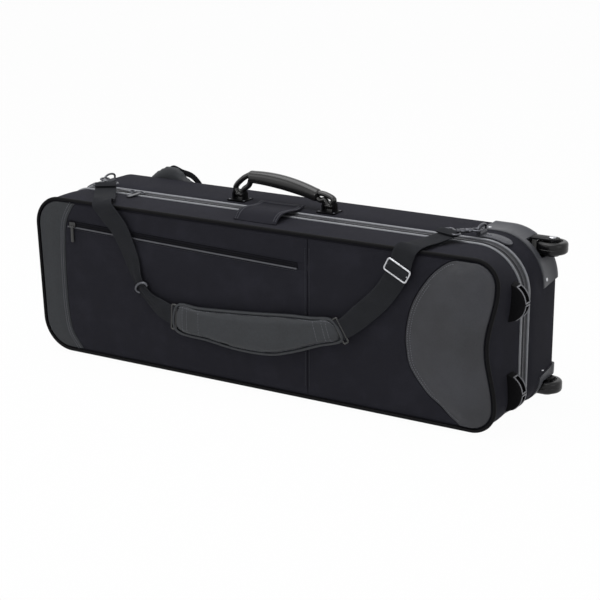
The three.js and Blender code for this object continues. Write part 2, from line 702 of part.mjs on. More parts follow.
// Rings for the shoulder strap, on leatherette tabs that follow the corner
const roll_z = top_z + gap + tab.roll;
function tab_and_ring(side, x, way) {
  const ring = outline(rim_radii, 0, -body.back_swell - gap);
  const start = way > 0 ? 2 * corner_steps + side_steps : 2 * corner_steps + side_steps + 1;
  const reached = [flat(x, ring[start].y), ring[start]];
  let length = Math.abs(ring[start].x - x);
  for (let i = start - way; length < tab.length; i -= way) {
    length += ring[i].distanceTo(reached.at(-1));
    reached.push(ring[i]);
  }
  const ordered = way > 0 ? reached : [...reached].reverse();
  const stations = outline_stations(ordered, tab.y);
  stations.forEach((s, i) => {
    const here = ordered[Math.min(i, ordered.length - 2)];
    const next = ordered[Math.min(i, ordered.length - 2) + 1];
    const out = flat(here.y - next.y, next.x - here.x).normalize();
    if (i === 0 || i === ordered.length - 1) s.u = vec(out.x, 0, out.y);
    else if (s.u.z < 0) s.u.negate();
  });
  const strip = sweep(strip_section(0, tab.thickness, -tab.width / 2, tab.width / 2), stations);
  const roll = rod("y", vec(x, tab.y, roll_z), tab.roll, tab.width);
  const bore = rod("y", vec(x, tab.y, roll_z), dring.tube + gap, tab.width + overrun);
  add("dring_tab_" + side, cut(join(strip, roll), bore), leatherette);

  const legs = [];
  for (let i = 0; i <= corner_steps; i += 1) {
    const angle = (Math.PI * i) / corner_steps;
    const across = dring.half_width * Math.cos(angle);
    legs.push(vec(x, tab.y + across, roll_z + dring.leg + dring.crown * Math.sin(angle)));
  }
  const path = [vec(x, tab.y + dring.half_width, roll_z), ...legs, vec(x, tab.y - dring.half_width, roll_z)];
  const loop_stations = closed_stations(path, vec(1, 0, 0));
  add("dring_" + side, sweep(round_section(dring.tube), loop_stations, true), metal);
}

// Stations round a closed flat path, with u kept on its normal
function closed_stations(path, normal) {
  return path.map((at, i) => {
    const before = path[(i + path.length - 1) % path.length];
    const after = path[(i + 1) % path.length];
    const along = after.clone().sub(at).normalize().add(at.clone().sub(before).normalize()).normalize();
    return { at, u: normal, v: along.clone().cross(normal) };
  });
}
tab_and_ring("left", ring_xs.left, -1);
tab_and_ring("right", ring_xs.right, 1);

// Snap hooks: a ring on the leg of the strap ring, a barrel and a bar for the web, laid flat
const hook_z = roll_z + hook.rise;
function snap_hook(side, x, turn) {
  const hold = new THREE.Group();
  hold.position.set(x, tab.y - dring.half_width, hook_z);
  hold.rotation.z = degrees(turn);
  trombone_case.add(hold);
  const eye = new THREE.TorusGeometry(hook.ring, hook.tube, bead_sides, round_steps / 2).translate(0, -hook.slack, 0);
  const barrel_start = -hook.slack - hook.ring;
  const barrel_end = barrel_start - hook.barrel_length;
  const barrel = rod("y", vec(0, (barrel_start + barrel_end) / 2, 0), hook.barrel, hook.barrel_length);
  const near = barrel_end;
  const far = near - hook.bar_depth;
  const cross = (y) => rod("x", vec(0, y, 0), hook.bar_tube, 2 * hook.bar_half);
  const side_bar = (way) => rod("y", vec(way * hook.bar_half, (near + far) / 2, 0), hook.bar_tube, near - far + hook.bar_tube);
  const made = join(eye, barrel, cross(near), cross(far), side_bar(-1), side_bar(1));
  add("snap_hook_" + side, made, metal, hold);
  const under = hook.bar_tube + gap + strap.thickness / 2;
  return vec(0, far + hook.bar_tube, -under).applyEuler(hold.rotation).add(hold.position);
}
const left_bar = snap_hook("left", ring_xs.left, hook_angle.left);
const right_bar = snap_hook("right", ring_xs.right, hook_angle.right);

// Webs of the shoulder strap, led along their routes
function route_stations(start, end_x, route, steps) {
  const stops = route.map(([way, back, up]) =>
    vec(mix(start.x, end_x, way), back * body.depth, low + up * body.height),
  );
  const places = new THREE.CatmullRomCurve3([start, ...stops], false, "centripetal");
  const faces = new THREE.CatmullRomCurve3([vec(0, 0, 1), ...route.map((point) => vec(...point.slice(3)))]);
  const points = [];
  const normals = [];
  for (let i = 0; i <= steps; i += 1) {
    points.push(places.getPoint(i / steps));
    normals.push(faces.getPoint(i / steps).normalize());
  }
  return stations_of(points, (i, along) => along.clone().cross(normals[i]));
}
function ribbon(stations, widths, width, thickness) {
  const last = stations.length - 1;
  const rings = stations.map((s, i) => {
    const place = (i / last) * (widths.length - 1);
    const here = Math.min(Math.floor(place), widths.length - 2);
    const half = (mix(widths[here], widths[here + 1], place - here) * width) / 2;
    const section = strip_section(-half, half, -thickness / 2, thickness / 2);
    return section.map((p) => s.at.clone().addScaledVector(s.u, p.x).addScaledVector(s.v, p.y));
  });
  return skin(rings, strip_section(-1, 1, -1, 1));
}
function strap_web(side, start, end_x, route, widths) {
  const stations = route_stations(start, end_x, route, web_steps);
  add("strap_web_" + side, ribbon(stations, widths, strap.web, strap.thickness), webbing);
  return stations;
}
const left_end = left_end_share * right;
const right_end = right_end_share * right;
const left_stations = strap_web("left", left_bar, left_end, left_route_shares, left_width_shares);
const right_stations = strap_web("right", right_bar, right_end, right_route_shares, right_width_shares);

// Ring where the left web gathers, and the frame on the right web
function oval_path(centre, long_way, short_way, half_long, half_short) {
  return Array.from({ length: small_steps }, (_, i) => {
    const angle = (2 * Math.PI * i) / small_steps;
    return centre
      .clone()
      .addScaledVector(long_way, half_long * Math.cos(angle))
      .addScaledVector(short_way, half_short * Math.sin(angle));
  });
}
const gather = left_stations[Math.round(strap_loop.at_share * web_steps)];
const gather_normal = gather.u.clone().cross(gather.v);
const gather_path = oval_path(gather.at, gather.u, gather.v, strap_loop.half_length, strap_loop.half_depth);
add("strap_loop", sweep(round_section(strap_loop.tube), closed_stations(gather_path, gather_normal), true), gloss_black);
const frame_x = mix(right_bar.x, right_end, strap_frame.way_share);
const frame_at = vec(frame_x, strap_frame.y, low + strap_frame.up_share * body.height);
const lean = degrees(strap_frame_angle);
const frame_long = vec(Math.cos(lean), 0, -Math.sin(lean));
const frame_short = vec(Math.sin(lean), 0, Math.cos(lean));
const frame_corners = [[1, 1], [-1, 1], [-1, -1], [1, -1]].map(([a, b]) =>
  frame_at
    .clone()
    .addScaledVector(frame_long, a * strap_frame.half_length)
    .addScaledVector(frame_short, b * strap_frame.half_height),
);
const frame_stations = closed_stations(frame_corners, vec(0, 1, 0));
add("strap_slider", sweep(round_section(strap_frame.tube), frame_stations, true), metal);

// Shoulder pad with a slot at each end for the web
const pad_outline = placed(shoulder_pad_outline_shares).map(([x, z]) => flat(x, z));
const pad_middle = pad_outline.reduce((sum, p) => sum.add(p), flat(0, 0)).divideScalar(pad_outline.length);
const drawn_in = (points, share) => points.map((p) => pad_middle.clone().lerp(p, share));
const pad_front = shoulder_pad.back - shoulder_pad.thickness;
const pad_rings = [
  ring_at(drawn_in(pad_outline, shoulder_pad.crown_share), shoulder_pad.back),
  ring_at(pad_outline, shoulder_pad.back - shoulder_pad.crown),
  ring_at(pad_outline, pad_front + shoulder_pad.crown),
  ring_at(drawn_in(pad_outline, shoulder_pad.crown_share), pad_front),
];
const slot_gap = 2 * gap;
const slots = [left_stations, right_stations].map((stations, i) => {
  const widths = i === 0 ? left_width_shares : right_width_shares;
  return ribbon(stations, widths, strap.web + 2 * slot_gap, strap.thickness + slot_gap);
});
add("shoulder_pad", cut(skin(pad_rings, pad_outline), ...slots), leatherette);

// Panels, patch, zip and flap on the lid
const crescent_edge = placed(crescent_edge_shares);
const patch_edge = placed(patch_edge_shares);
const face_region = outline(panel_radii, body.waist, panel.margin);
const prism = (points, thickness) => face_plate(points.map(([x, z]) => flat(x, z)), thickness, -gap);
const face_part = (region, thickness) => overlap_of(face_plate(face_region, thickness, -gap), prism(region, thickness));
const far_left = [[left - overrun, 0], [left - overrun, high + overrun]];
add("left_crescent", face_part([...crescent_edge, ...far_left], panel.thickness), leatherette);

const [[zip_x, zip_z], [zip_end_x, zip_end_z]] = placed(pocket_zip_shares);
const zip_fall = (zip_end_z - zip_z) / (zip_end_x - zip_x);
const zip_height = (x) => zip_z + zip_fall * (x - zip_x);
const tape_half = pocket.tape_height / 2;
const pocket_left = crescent_edge.filter(([, z]) => z < zip_z - tape_half).map(([x, z]) => [x + 2 * gap, z]);
const pocket_corner_z = zip_z - tape_half - gap;
const [upper_point, lower_point] = crescent_edge.filter(([x], i) => i > 1 && x <= zip_x).slice(0, 2);
const edge_share = (pocket_corner_z - lower_point[1]) / (upper_point[1] - lower_point[1]);
const pocket_top = [
  [mix(lower_point[0], upper_point[0], edge_share) + 2 * gap, pocket_corner_z],
  [pocket.seam, zip_height(pocket.seam) - tape_half - gap],
];
const pocket_region = [[pocket.seam, 0], pocket_top[1], pocket_top[0], ...pocket_left];
add("pocket_panel", face_part(pocket_region, panel.thickness), nylon);
const tape_region = [
  [zip_x, zip_z - tape_half],
  [zip_end_x, zip_end_z - tape_half],
  [zip_end_x, zip_end_z + tape_half],
  [zip_x, zip_z + tape_half],
];
add("pocket_zip_tape", prism(tape_region, pocket.tape), zip_tape);

const patch_region = [...patch_edge, [right + overrun, 0], [right + overrun, high + overrun]];
const patch_base = face_part(patch_region, patch.thickness);
const patch_crown = face_part(patch_region, patch.crown);
const patch_middle = vec(right - bell_radius / 2, 0, middle_z);
patch_crown.translate(-patch_middle.x, gap, -patch_middle.z);
patch_crown.scale(patch.crown_share, 1, patch.crown_share);
patch_crown.translate(patch_middle.x, -gap, patch_middle.z);
add("bell_patch", join(patch_base, patch_crown), leatherette);

const flap_rings = [[0, 0], ...flap_rises].map(([share, rise]) => {
  const y = flap.front_y + flap.depth * share;
  const z = high + gap + flap.bulge * rise;
  const start = flap.left - flap.lean_left * share;
  const end = flap.right - flap.lean_right * share;
  return [vec(start, y, z), vec(end, y, z), vec(end, y, z + flap.thickness), vec(start, y, z + flap.thickness)];
});
add("zip_flap", skin(flap_rings, strip_section(0, 1, 0, 1)), nylon);

// Skids on the wheel end of the lid, with two windows each
const lid_space = filled(lid_outline, lid_profile, -gap, lid_rim);
function skid_at(name, z) {
  const centre_x = right + skid.beyond - skid.radius;
  const disc = new THREE.Shape();
  disc.moveTo(right - skid.root, z - skid.radius);
  disc.lineTo(centre_x, z - skid.radius);
  disc.absarc(centre_x, z, skid.radius, -Math.PI / 2, Math.PI / 2);
  disc.lineTo(right - skid.root, z + skid.radius);
  const depth = skid.y_high - skid.y_low;
  const solid = new THREE.ExtrudeGeometry(disc, { depth, bevelEnabled: false, curveSegments: small_steps });
  const first = Math.asin(skid.rib / skid.radius);
  const last = degrees(skid_window_angle);
  const windows = [1, -1].map((way) => {
    const ends = [way * first, way * last];
    const pane = new THREE.Shape();
    pane.absarc(centre_x, z, skid.radius + overrun, ends[0], ends[1], way < 0);
    pane.absarc(centre_x, z, skid.radius - skid.pocket_depth, ends[1], ends[0], way > 0);
    const settings = { depth: depth - 2 * skid.frame, bevelEnabled: false, curveSegments: corner_steps };
    const cutter = facing_out(mergeable(new THREE.ExtrudeGeometry(pane, settings)));
    return cutter.rotateX(Math.PI / 2).translate(0, skid.y_high - skid.frame, 0);
  });
  const standing = facing_out(mergeable(solid)).rotateX(Math.PI / 2).translate(0, skid.y_high, 0);
  add(name, cut(standing, ...windows, lid_space), rubber);
}

// An indexed copy without normals and texture places
function mergeable(geometry) {
  const bare = geometry.clone();
  bare.deleteAttribute("normal");
  bare.deleteAttribute("uv");
  return mergeVertices(bare);
}
skid_at("end_skid_upper", low + skid.upper_share * body.height);
skid_at("end_skid_lower", low + skid.lower_share * body.height);

// Sliders of the main zip, with their pulls
const tape_top = high - wall.cover + zip.tape;
function main_slider_at(side, x, make_pull) {
  const half = slider.length / 2;
  const base_z = tape_top + gap;
  const top = base_z + slider.height;
  const block = box(
    vec(x - half, zip.split_y - slider.width / 2, base_z),
    vec(x + half, zip.split_y + slider.width / 2, top),
  );
  const bridge = box(
    vec(x - half / 2, zip.split_y - slider.bridge_width / 2, top - slider.bridge),
    vec(x + half / 2, zip.split_y + slider.bridge_width / 2, top + slider.bridge),
  );
  add("main_slider_" + side, join(block, bridge, make_pull(x, top)), metal);
}
main_slider_at("left", main_slider.left_x, (x, top) =>
  box(
    vec(x - slider.length / 2 - main_slider.left_pull, zip.split_y - slider.pull_width / 2, top - gap),
    vec(x, zip.split_y + slider.pull_width / 2, top - gap + slider.pull),
  ),
);
main_slider_at("right", main_slider.right_x, (x, top) =>
  box(
    vec(x - slider.pull_width / 2, zip.split_y - main_slider.right_pull, top - gap),
    vec(x + slider.pull_width / 2, zip.split_y, top - gap + slider.pull),
  ),
);

// Slider and pull of the pocket zip
const pocket_x = zip_x + pocket_slider.along;
const pocket_z = zip_height(pocket_x);
const slider_back = -gap - pocket.tape - gap;
const slider_front = slider_back - pocket_slider.depth;
const slider_half = pocket_slider.length / 2;
const height_half = pocket_slider.height / 2;
const eye_z = pocket_z - height_half + pocket_slider.eye;
const pocket_body = box(
  vec(pocket_x - slider_half, slider_front, pocket_z - height_half),
  vec(pocket_x + slider_half, slider_back, pocket_z + height_half),
);
const bail_y = slider_front - pocket_slider.eye / 2;
const bail_half = pocket_slider.pull_width / 2;
const bail_posts = [-1, 1].map((way) =>
  rod("x", vec(pocket_x + way * (bail_half + gap + pocket_slider.eye), bail_y, eye_z), pocket_slider.eye, 2 * pocket_slider.eye),
);
const bail = rod("x", vec(pocket_x, bail_y, eye_z), pocket_slider.eye / 2, pocket_slider.pull_width + 2 * pocket_slider.eye);
const pull_bore = pocket_slider.eye / 2 + gap;
const pull_ring = pull_bore + pocket_slider.eye / 2;
const pull_relief = rod("x", vec(pocket_x, bail_y, eye_z), pull_ring + gap, pocket_slider.pull_width + 2 * gap);
add("pocket_slider", join(cut(pocket_body, pull_relief), ...bail_posts, bail), metal);
const pull_plate = box(
  vec(pocket_x - bail_half, bail_y - slider.pull / 2, eye_z - pocket_slider.pull_length),
  vec(pocket_x + bail_half, bail_y + slider.pull / 2, eye_z),
);
const pull_knuckle = rod("x", vec(pocket_x, bail_y, eye_z), pull_ring, pocket_slider.pull_width);
const pull_hole = rod("x", vec(pocket_x, bail_y, eye_z), pull_bore, pocket_slider.pull_width + overrun);
add("pocket_pull", cut(join(pull_plate, pull_knuckle), pull_hole), metal);

// Backpack straps on the back
function back_ribbon(name, route, width, low_y, high_y, material) {
  const curve = new THREE.CatmullRomCurve3(route.map(([x, z]) => vec(x, 0, z)));
  const points = curve.getSpacedPoints(side_steps);
  const stations = stations_of(points, () => vec(0, 1, 0));
  const round = Math.min((high_y - low_y) / 3, width / 8);
  const half = width / 2;
  const section = [
    flat(low_y, -half + round), flat(low_y + round, -half), flat(high_y - round, -half), flat(high_y, -half + round),
    flat(high_y, half - round), flat(high_y - round, half), flat(low_y + round, half), flat(low_y, half - round),
  ];
  add(name, sweep(section, stations), material);
}
const pad_low = body.depth + gap;
const pad_high = pad_low + backpack.pad_thickness;
const web_low = pad_low + backpack.web_inset;
const web_high = web_low + backpack.web_thickness;
back_ribbon("backpack_pad_upper", placed(upper_pad_route_shares), backpack.pad_width, pad_low, pad_high, leatherette);
back_ribbon("backpack_web_upper", placed(upper_web_route_shares), backpack.web, web_low, web_high, webbing);
back_ribbon("backpack_pad_lower", placed(lower_pad_route_shares), backpack.pad_width, pad_low, pad_high, leatherette);
back_ribbon("backpack_web_lower", placed(lower_web_route_shares), backpack.web, web_low, web_high, webbing);

// Inside the base: bell cradle, tube rest and accessory box
const inner_space = filled(base_outline, base_profile, inner_skin, zip.split_y + gap);
const floor_y = body.depth - inner_skin;
const block_y = floor_y - cavity.block_depth;
const wide_spaces = Object.values(wheel_zs).map((z) => wheel_well(z, post.wall + 2 * gap));
const bell_x = right - inner_skin - cavity.bell_end_wall - bell_radius;
const bell_from = bell_x - bell_radius - cavity.bell_lead;
const bell_block = box(vec(bell_from, floor_y - cavity.bell_depth, 0), vec(right, body.depth, high));
const bell_hole = rod("y", vec(bell_x, floor_y, middle_z), bell_radius, 3 * cavity.bell_depth, round_steps);
add("bell_cradle", cut(overlap_of(bell_block, inner_space), bell_hole, ...wide_spaces), foam_board);
const rest_half = cavity.rest_length / 2;
const rest_block = box(vec(cavity.rest_x - rest_half, block_y, 0), vec(cavity.rest_x + rest_half, body.depth, high));
const grooves = [-1, 0, 1].map((way) => {
  const z = middle_z + way * tube_pitch_share * body.height;
  return rod("x", vec(cavity.rest_x, block_y, z), cavity.tube_radius, cavity.rest_length + overrun, round_steps / 2);
});
add("tube_rest", cut(overlap_of(rest_block, inner_space), ...grooves), foam_board);
const box_x_low = left + inner_skin + cavity.box_from_end;
const box_x_high = box_x_low + cavity.box_length;
const box_z_low = low + inner_skin + cavity.box_from_below;
const box_z_high = high - inner_skin - cavity.box_from_above;
const box_outer = box(vec(box_x_low, block_y, box_z_low), vec(box_x_high, floor_y, box_z_high));
const box_inner = box(
  vec(box_x_low + cavity.box_wall, block_y - overrun, box_z_low + cavity.box_wall),
  vec(box_x_high - cavity.box_wall, floor_y - cavity.box_wall, box_z_high - cavity.box_wall),
);
add("accessory_box", cut(box_outer, box_inner), foam_board);

// The origin lies in the middle of the footprint, on the ground
trombone_case.updateMatrixWorld(true);
const extent = new THREE.Box3().setFromObject(trombone_case);
trombone_case.position.set(
  -(extent.min.x + extent.max.x) / 2,
  -(extent.min.y + extent.max.y) / 2,
  -extent.min.z,
);

export default trombone_case;
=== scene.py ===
"""Looks of a wheeled trombone case that stands on its long narrow side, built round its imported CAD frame.

Shapes are worked out in millimetres in the case's own frame: X along the case with the wheels at its
high end, Y from the lid's face to the back, Z up from the ground. A finished piece is moved to the row
frame and turned to metres, with its place in its mesh.
"""
from __future__ import annotations

import json
import logging
import math
from dataclasses import dataclass, field
from enum import Enum
from typing import Callable, Iterable, Sequence

import bmesh
import bpy
from mathutils import Matrix, Vector, noise

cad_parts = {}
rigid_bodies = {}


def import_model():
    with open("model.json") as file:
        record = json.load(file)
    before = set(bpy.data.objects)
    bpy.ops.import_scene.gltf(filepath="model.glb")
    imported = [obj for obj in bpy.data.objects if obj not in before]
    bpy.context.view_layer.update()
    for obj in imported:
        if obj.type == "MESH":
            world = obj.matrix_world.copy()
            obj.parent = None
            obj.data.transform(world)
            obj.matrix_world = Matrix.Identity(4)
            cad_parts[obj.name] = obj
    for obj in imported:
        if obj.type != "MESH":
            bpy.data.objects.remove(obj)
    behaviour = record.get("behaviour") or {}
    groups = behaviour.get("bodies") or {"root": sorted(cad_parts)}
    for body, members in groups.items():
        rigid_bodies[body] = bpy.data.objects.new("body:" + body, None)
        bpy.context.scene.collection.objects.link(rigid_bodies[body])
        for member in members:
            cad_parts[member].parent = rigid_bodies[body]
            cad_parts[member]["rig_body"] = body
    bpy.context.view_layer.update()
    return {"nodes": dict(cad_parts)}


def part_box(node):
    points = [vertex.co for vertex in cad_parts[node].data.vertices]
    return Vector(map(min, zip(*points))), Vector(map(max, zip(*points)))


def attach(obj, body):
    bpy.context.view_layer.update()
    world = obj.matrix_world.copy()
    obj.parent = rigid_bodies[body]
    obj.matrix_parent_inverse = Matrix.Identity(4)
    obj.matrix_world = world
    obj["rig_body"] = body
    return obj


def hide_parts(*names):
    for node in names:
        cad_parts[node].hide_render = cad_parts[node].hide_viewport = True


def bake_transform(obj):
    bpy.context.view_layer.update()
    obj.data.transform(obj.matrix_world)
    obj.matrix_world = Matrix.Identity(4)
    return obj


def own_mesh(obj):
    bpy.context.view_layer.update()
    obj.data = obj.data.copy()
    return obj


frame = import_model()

log = logging.getLogger("trombone_case")
MM = 0.001
TURN = 2 * math.pi
Ring = list[Vector]
Lay = tuple[float, float]
Track = list[tuple[Vector, Vector]]
Colour = tuple[float, float, float, float]
Settings = dict[str, object] | None


# Sizes and small maths


def mix(a: float, b: float, share: float) -> float:
    """Value a share of the way from a to b."""
    return a + (b - a) * share


def clamp(value: float, low: float = 0.0, high: float = 1.0) -> float:
    """Value kept between two limits."""
    return max(low, min(high, value))


def smooth(share: float) -> float:
    """Soft step from 0 to 1."""
    held = clamp(share)
    return held * held * (3 - 2 * held)


def rounded(near: float) -> float:
    """Height of a quarter circle, from 0 at 0 to 1 at 1 and beyond."""
    return math.sqrt(max(0.0, 1 - (1 - clamp(near)) ** 2))


def vec(x: float, y: float, z: float) -> Vector:
    """A point or direction."""
    return Vector((x, y, z))


X_WAY, Y_WAY, Z_WAY, FACE_WAY = vec(1, 0, 0), vec(0, 1, 0), vec(0, 0, 1), vec(0, -1, 0)


def moved(points: Iterable[Vector], y: float) -> Ring:
    """Points moved along Y."""
    return [p + vec(0, y, 0) for p in points]


def outwards(along: Vector) -> Vector:
    """Direction out of an anticlockwise outline in X and Z that runs along a direction."""
    return vec(along.z, 0, -along.x)


def rounds(count: int) -> list[Lay]:
    """Cosines and sines of equal steps round a circle."""
    return [(math.cos(TURN * i / count), math.sin(TURN * i / count)) for i in range(count)]


def linear(red: float, green: float, blue: float) -> Colour:
    """Linear colour of an sRGB colour given from 0 to 255."""
    made = [c / 3294.6 if c <= 10.3 else ((c / 255 + 0.055) / 1.055) ** 2.4 for c in (red, green, blue)]
    return (made[0], made[1], made[2], 1.0)


@dataclass(frozen=True)
class CaseBody:
    """Sizes of the moulded body, the same as in the CAD source."""

    length: float = 905.0
    depth: float = 225.0
    height: float = 279.0
    low: float = 9.0
    top_left: float = 50.0
    bottom_left: float = 58.0
    top_right: float = 78.0
    bottom_right: float = 45.0
    left_lean: float = 7.0
    panel_right: float = 40.0
    waist: float = 16.0
    edge_depth: float = 5.0
    back_swell: float = 2.5
    swell_run: float = 15.0
    split: float = 102.75
    band_half: float = 14.5
    lid_rim: float = 85.45
    base_rim: float = 120.05
    cover: float = 2.5
    lining_skin: float = 13.1
    corner_steps: int = 16
    edge_steps: int = 36

    @property
    def right(self) -> float:
        """X of the wheel end."""
        return self.length / 2

    @property
    def high(self) -> float:
        """Z of the upper side."""
        return self.low + self.height

    @property
    def top(self) -> float:
        """Z of the upper side of the base, which swells a little."""
        return self.high + self.back_swell

    def _outline(self, top_right: float, bottom_right: float, waist: float, inset: float) -> Ring:
        """Outline in X and Z, anticlockwise from the bottom right corner.

        Args:
            top_right: Radius of the upper corner at the wheel end.
            bottom_right: Radius of the lower corner at the wheel end.
            waist: How far the wheel end draws in at its middle.
            inset: How far the outline is drawn in.

        Returns:
            Points with y 0.
        """
        right, left, low, high = self.right, -self.right, self.low, self.high
        points: Ring = []

        def corner(x: float, z: float, radius: float, turn: int) -> None:
            """Adds a quarter turn."""
            for i in range(self.corner_steps + 1):
                angle = math.pi / 2 * (turn + i / self.corner_steps)
                reach = radius - inset
                points.append(vec(x + reach * math.cos(angle), 0, z + reach * math.sin(angle)))

        def run(steps: int, to: Vector) -> None:
            """Adds the points of a straight side, without its ends."""
            start = points[-1].copy()
            points.extend(start.lerp(to, i / steps) for i in range(1, steps))

        corner(right - bottom_right, low + bottom_right, bottom_right, -1)
        for i in range(1, self.corner_steps):
            along = i / self.corner_steps
            z = mix(low + bottom_right, high - top_right, along)
            points.append(vec(right - inset - waist * math.sin(math.pi * along) ** 2, 0, z))
        corner(right - top_right, high - top_right, top_right, 0)
        run(self.edge_steps, vec(left + self.top_left, 0, high - inset))
        corner(left + self.top_left, high - self.top_left, self.top_left, 1)
        lower = left + self.left_lean
        run(self.corner_steps // 2, vec(lower + inset, 0, self.low + self.bottom_left))
        corner(lower + self.bottom_left, low + self.bottom_left, self.bottom_left, 2)
        run(self.edge_steps, vec(right - bottom_right, 0, low + inset))
        return points

    def rim_outline(self, inset: float) -> Ring:
        """Outline where the lid and the base meet."""
        return self._outline(self.top_right, self.bottom_right, 0.0, inset)

    def face_outline(self, inset: float) -> Ring:
        """Outline of the lid's face."""
        return self._outline(self.panel_right, self.panel_right, self.waist, inset)

    def lid_outline(self, y: float, inset: float) -> Ring:
        """Outline of the lid at a depth."""
        share = clamp((y - self.edge_depth) / (self.lid_rim - self.edge_depth))
        face, rim = self.face_outline(inset), self.rim_outline(inset)
        return moved((f.lerp(r, share) for f, r in zip(face, rim)), y)

    def base_outline(self, y: float, inset: float) -> Ring:
        """Outline of the base at a depth."""
        share = clamp((y - self.base_rim) / self.swell_run)
        return moved(self.rim_outline(inset - self.back_swell * share), y)


BODY = CaseBody()
CASE_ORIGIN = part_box("lid_cover")[0] - vec(-BODY.right, 0, BODY.low) * MM


def to_row(point: Vector) -> Vector:
    """Row place in metres of a point of the case frame in millimetres."""
    return CASE_ORIGIN + point * MM


def curve_point(points: Sequence[Vector], share: float) -> Vector:
    """Point on a centripetal Catmull-Rom curve, as the CAD source lays its routes.

    Args:
        points: Points that the curve passes.
        share: Place from 0 to 1, with equal shares between neighbouring points.

    Returns:
        The point on the curve.
    """
    place = clamp(share) * (len(points) - 1)
    i = min(int(place), len(points) - 2)
    t = place - i
    p1, p2 = points[i], points[i + 1]
    p0 = points[i - 1] if i > 0 else p1 * 2 - p2
    p3 = points[i + 2] if i + 2 < len(points) else p2 * 2 - p1
    d0, d1, d2 = (max((b - a).length ** 0.5, 1e-4) for a, b in ((p0, p1), (p1, p2), (p2, p3)))
    m1 = ((p1 - p0) / d0 - (p2 - p0) / (d0 + d1) + (p2 - p1) / d1) * d1
    m2 = ((p2 - p1) / d1 - (p3 - p1) / (d1 + d2) + (p3 - p2) / d2) * d1
    square, cube = -3 * p1 + 3 * p2 - 2 * m1 - m2, 2 * p1 - 2 * p2 + m1 + m2
    return p1 + m1 * t + square * t * t + cube * t * t * t


def curve(points: Sequence[Vector], steps: int) -> Ring:
    """Points at equal shares of a curve through given points."""
    return [curve_point(points, i / steps) for i in range(steps + 1)]


def closed_curve(points: Sequence[Vector], steps: int) -> Ring:
    """Points of a closed smooth curve, a number of steps for each given point."""
    trip = [points[-1], *points, points[0], points[1]]
    return [curve_point(trip, (1 + i / steps) / (len(trip) - 1)) for i in range(steps * len(points))]


class Path:
    """A polyline that is read by its length."""

    def __init__(self, points: Sequence[Vector]) -> None:
        """Takes the points and measures them."""
        self.points = list(points)
        self.reach = [0.0]
        for a, b in zip(self.points, self.points[1:]):
            self.reach.append(self.reach[-1] + (b - a).length)

    @property
    def length(self) -> float:
        """Whole length."""
        return self.reach[-1]

    def at(self, distance: float) -> Vector:
        """Point at a distance from the start."""
        held = clamp(distance, 0.0, self.length)
        for i in range(1, len(self.reach)):
            if held <= self.reach[i]:
                span = self.reach[i] - self.reach[i - 1]
                share = (held - self.reach[i - 1]) / span if span > 1e-9 else 0
                return self.points[i - 1].lerp(self.points[i], share)
        return self.points[-1].copy()

    def along(self, distance: float) -> Vector:
        """Direction at a distance from the start."""
        return (self.at(distance + 0.5) - self.at(distance - 0.5)).normalized()

    def spaced(self, count: int) -> Ring:
        """Equally spaced points from end to end."""
        return [self.at(mix(0.0, self.length, i / (count - 1))) for i in range(count)]


@dataclass(frozen=True)
class Station:
    """A place of a section on its way, with the section's two directions."""

    at: Vector
    u: Vector
    v: Vector


def stations_of(
    points: Sequence[Vector], side_at: Callable[[int, Vector], Vector] | Vector, closed: bool = False
) -> list[Station]:
    """Stations along a path.

    Args:
        points: The path.
        side_at: The wished first direction, or what gives it from an index and the direction along.
        closed: Whether the path joins its start.

    Returns:
        One station for each point.
    """
    made = []
    for i, at in enumerate(points):
        before = points[i - 1] if closed or i else at
        after = points[(i + 1) % len(points)] if closed or i + 1 < len(points) else at
        along = (after - before).normalized()
        side = side_at if isinstance(side_at, Vector) else side_at(i, along)
        u = (side - along * side.dot(along)).normalized()
        made.append(Station(at, u, along.cross(u).normalized()))
    return made


def outward_stations(points: Sequence[Vector]) -> list[Station]:
    """Stations round a closed outline in X and Z, with u pointing out and v along Y."""
    ways = [points[(i + 1) % len(points)] - points[i - 1] for i in range(len(points))]
    return [Station(at, outwards(way).normalized(), Y_WAY) for at, way in zip(points, ways)]


def round_section(radius_u: float, radius_v: float, sides: int = 10) -> list[Lay]:
    """A round or oval section."""
    return [(radius_u * c, radius_v * s) for c, s in rounds(sides)]


def full_reach(c: float, s: float, fullness: float) -> float:
    """Reach of a full rounded section in the direction of a cosine and a sine."""
    return (abs(c) ** fullness + abs(s) ** fullness) ** (-1 / fullness)


def pillow_section(half_width: float, half_thick: float, sides: int, fullness: float) -> list[Lay]:
    """A flat section with full rounded sides."""
    reaches = [(c, s, full_reach(c, s, fullness)) for c, s in rounds(sides)]
    return [(half_width * c * reach, half_thick * s * reach) for c, s, reach in reaches]


def mirrored(half: Sequence[Lay]) -> list[Lay]:
    """A profile of radius and height from its lower half."""
    return [*half, *((radius, -height) for radius, height in reversed(half))]


# Node trees and shader maths


def _operator(operation: str, swapped: bool = False) -> Callable[..., Value]:
    """Makes a method of Value.

    Args:
        operation: What its Math node does.
        swapped: Whether the other number comes first.

    Returns:
        The method, which adds the node and gives its result.
    """

    def method(value: Value, *others: Value | float) -> Value:
        """Adds the Math node on this number and others."""
        inputs = [*others, value] if swapped else [value, *others]
        made = value.nodes.node("ShaderNodeMath", {"operation": operation}, dict(enumerate(inputs)))
        return Value(value.nodes, made.outputs[0])

    return method


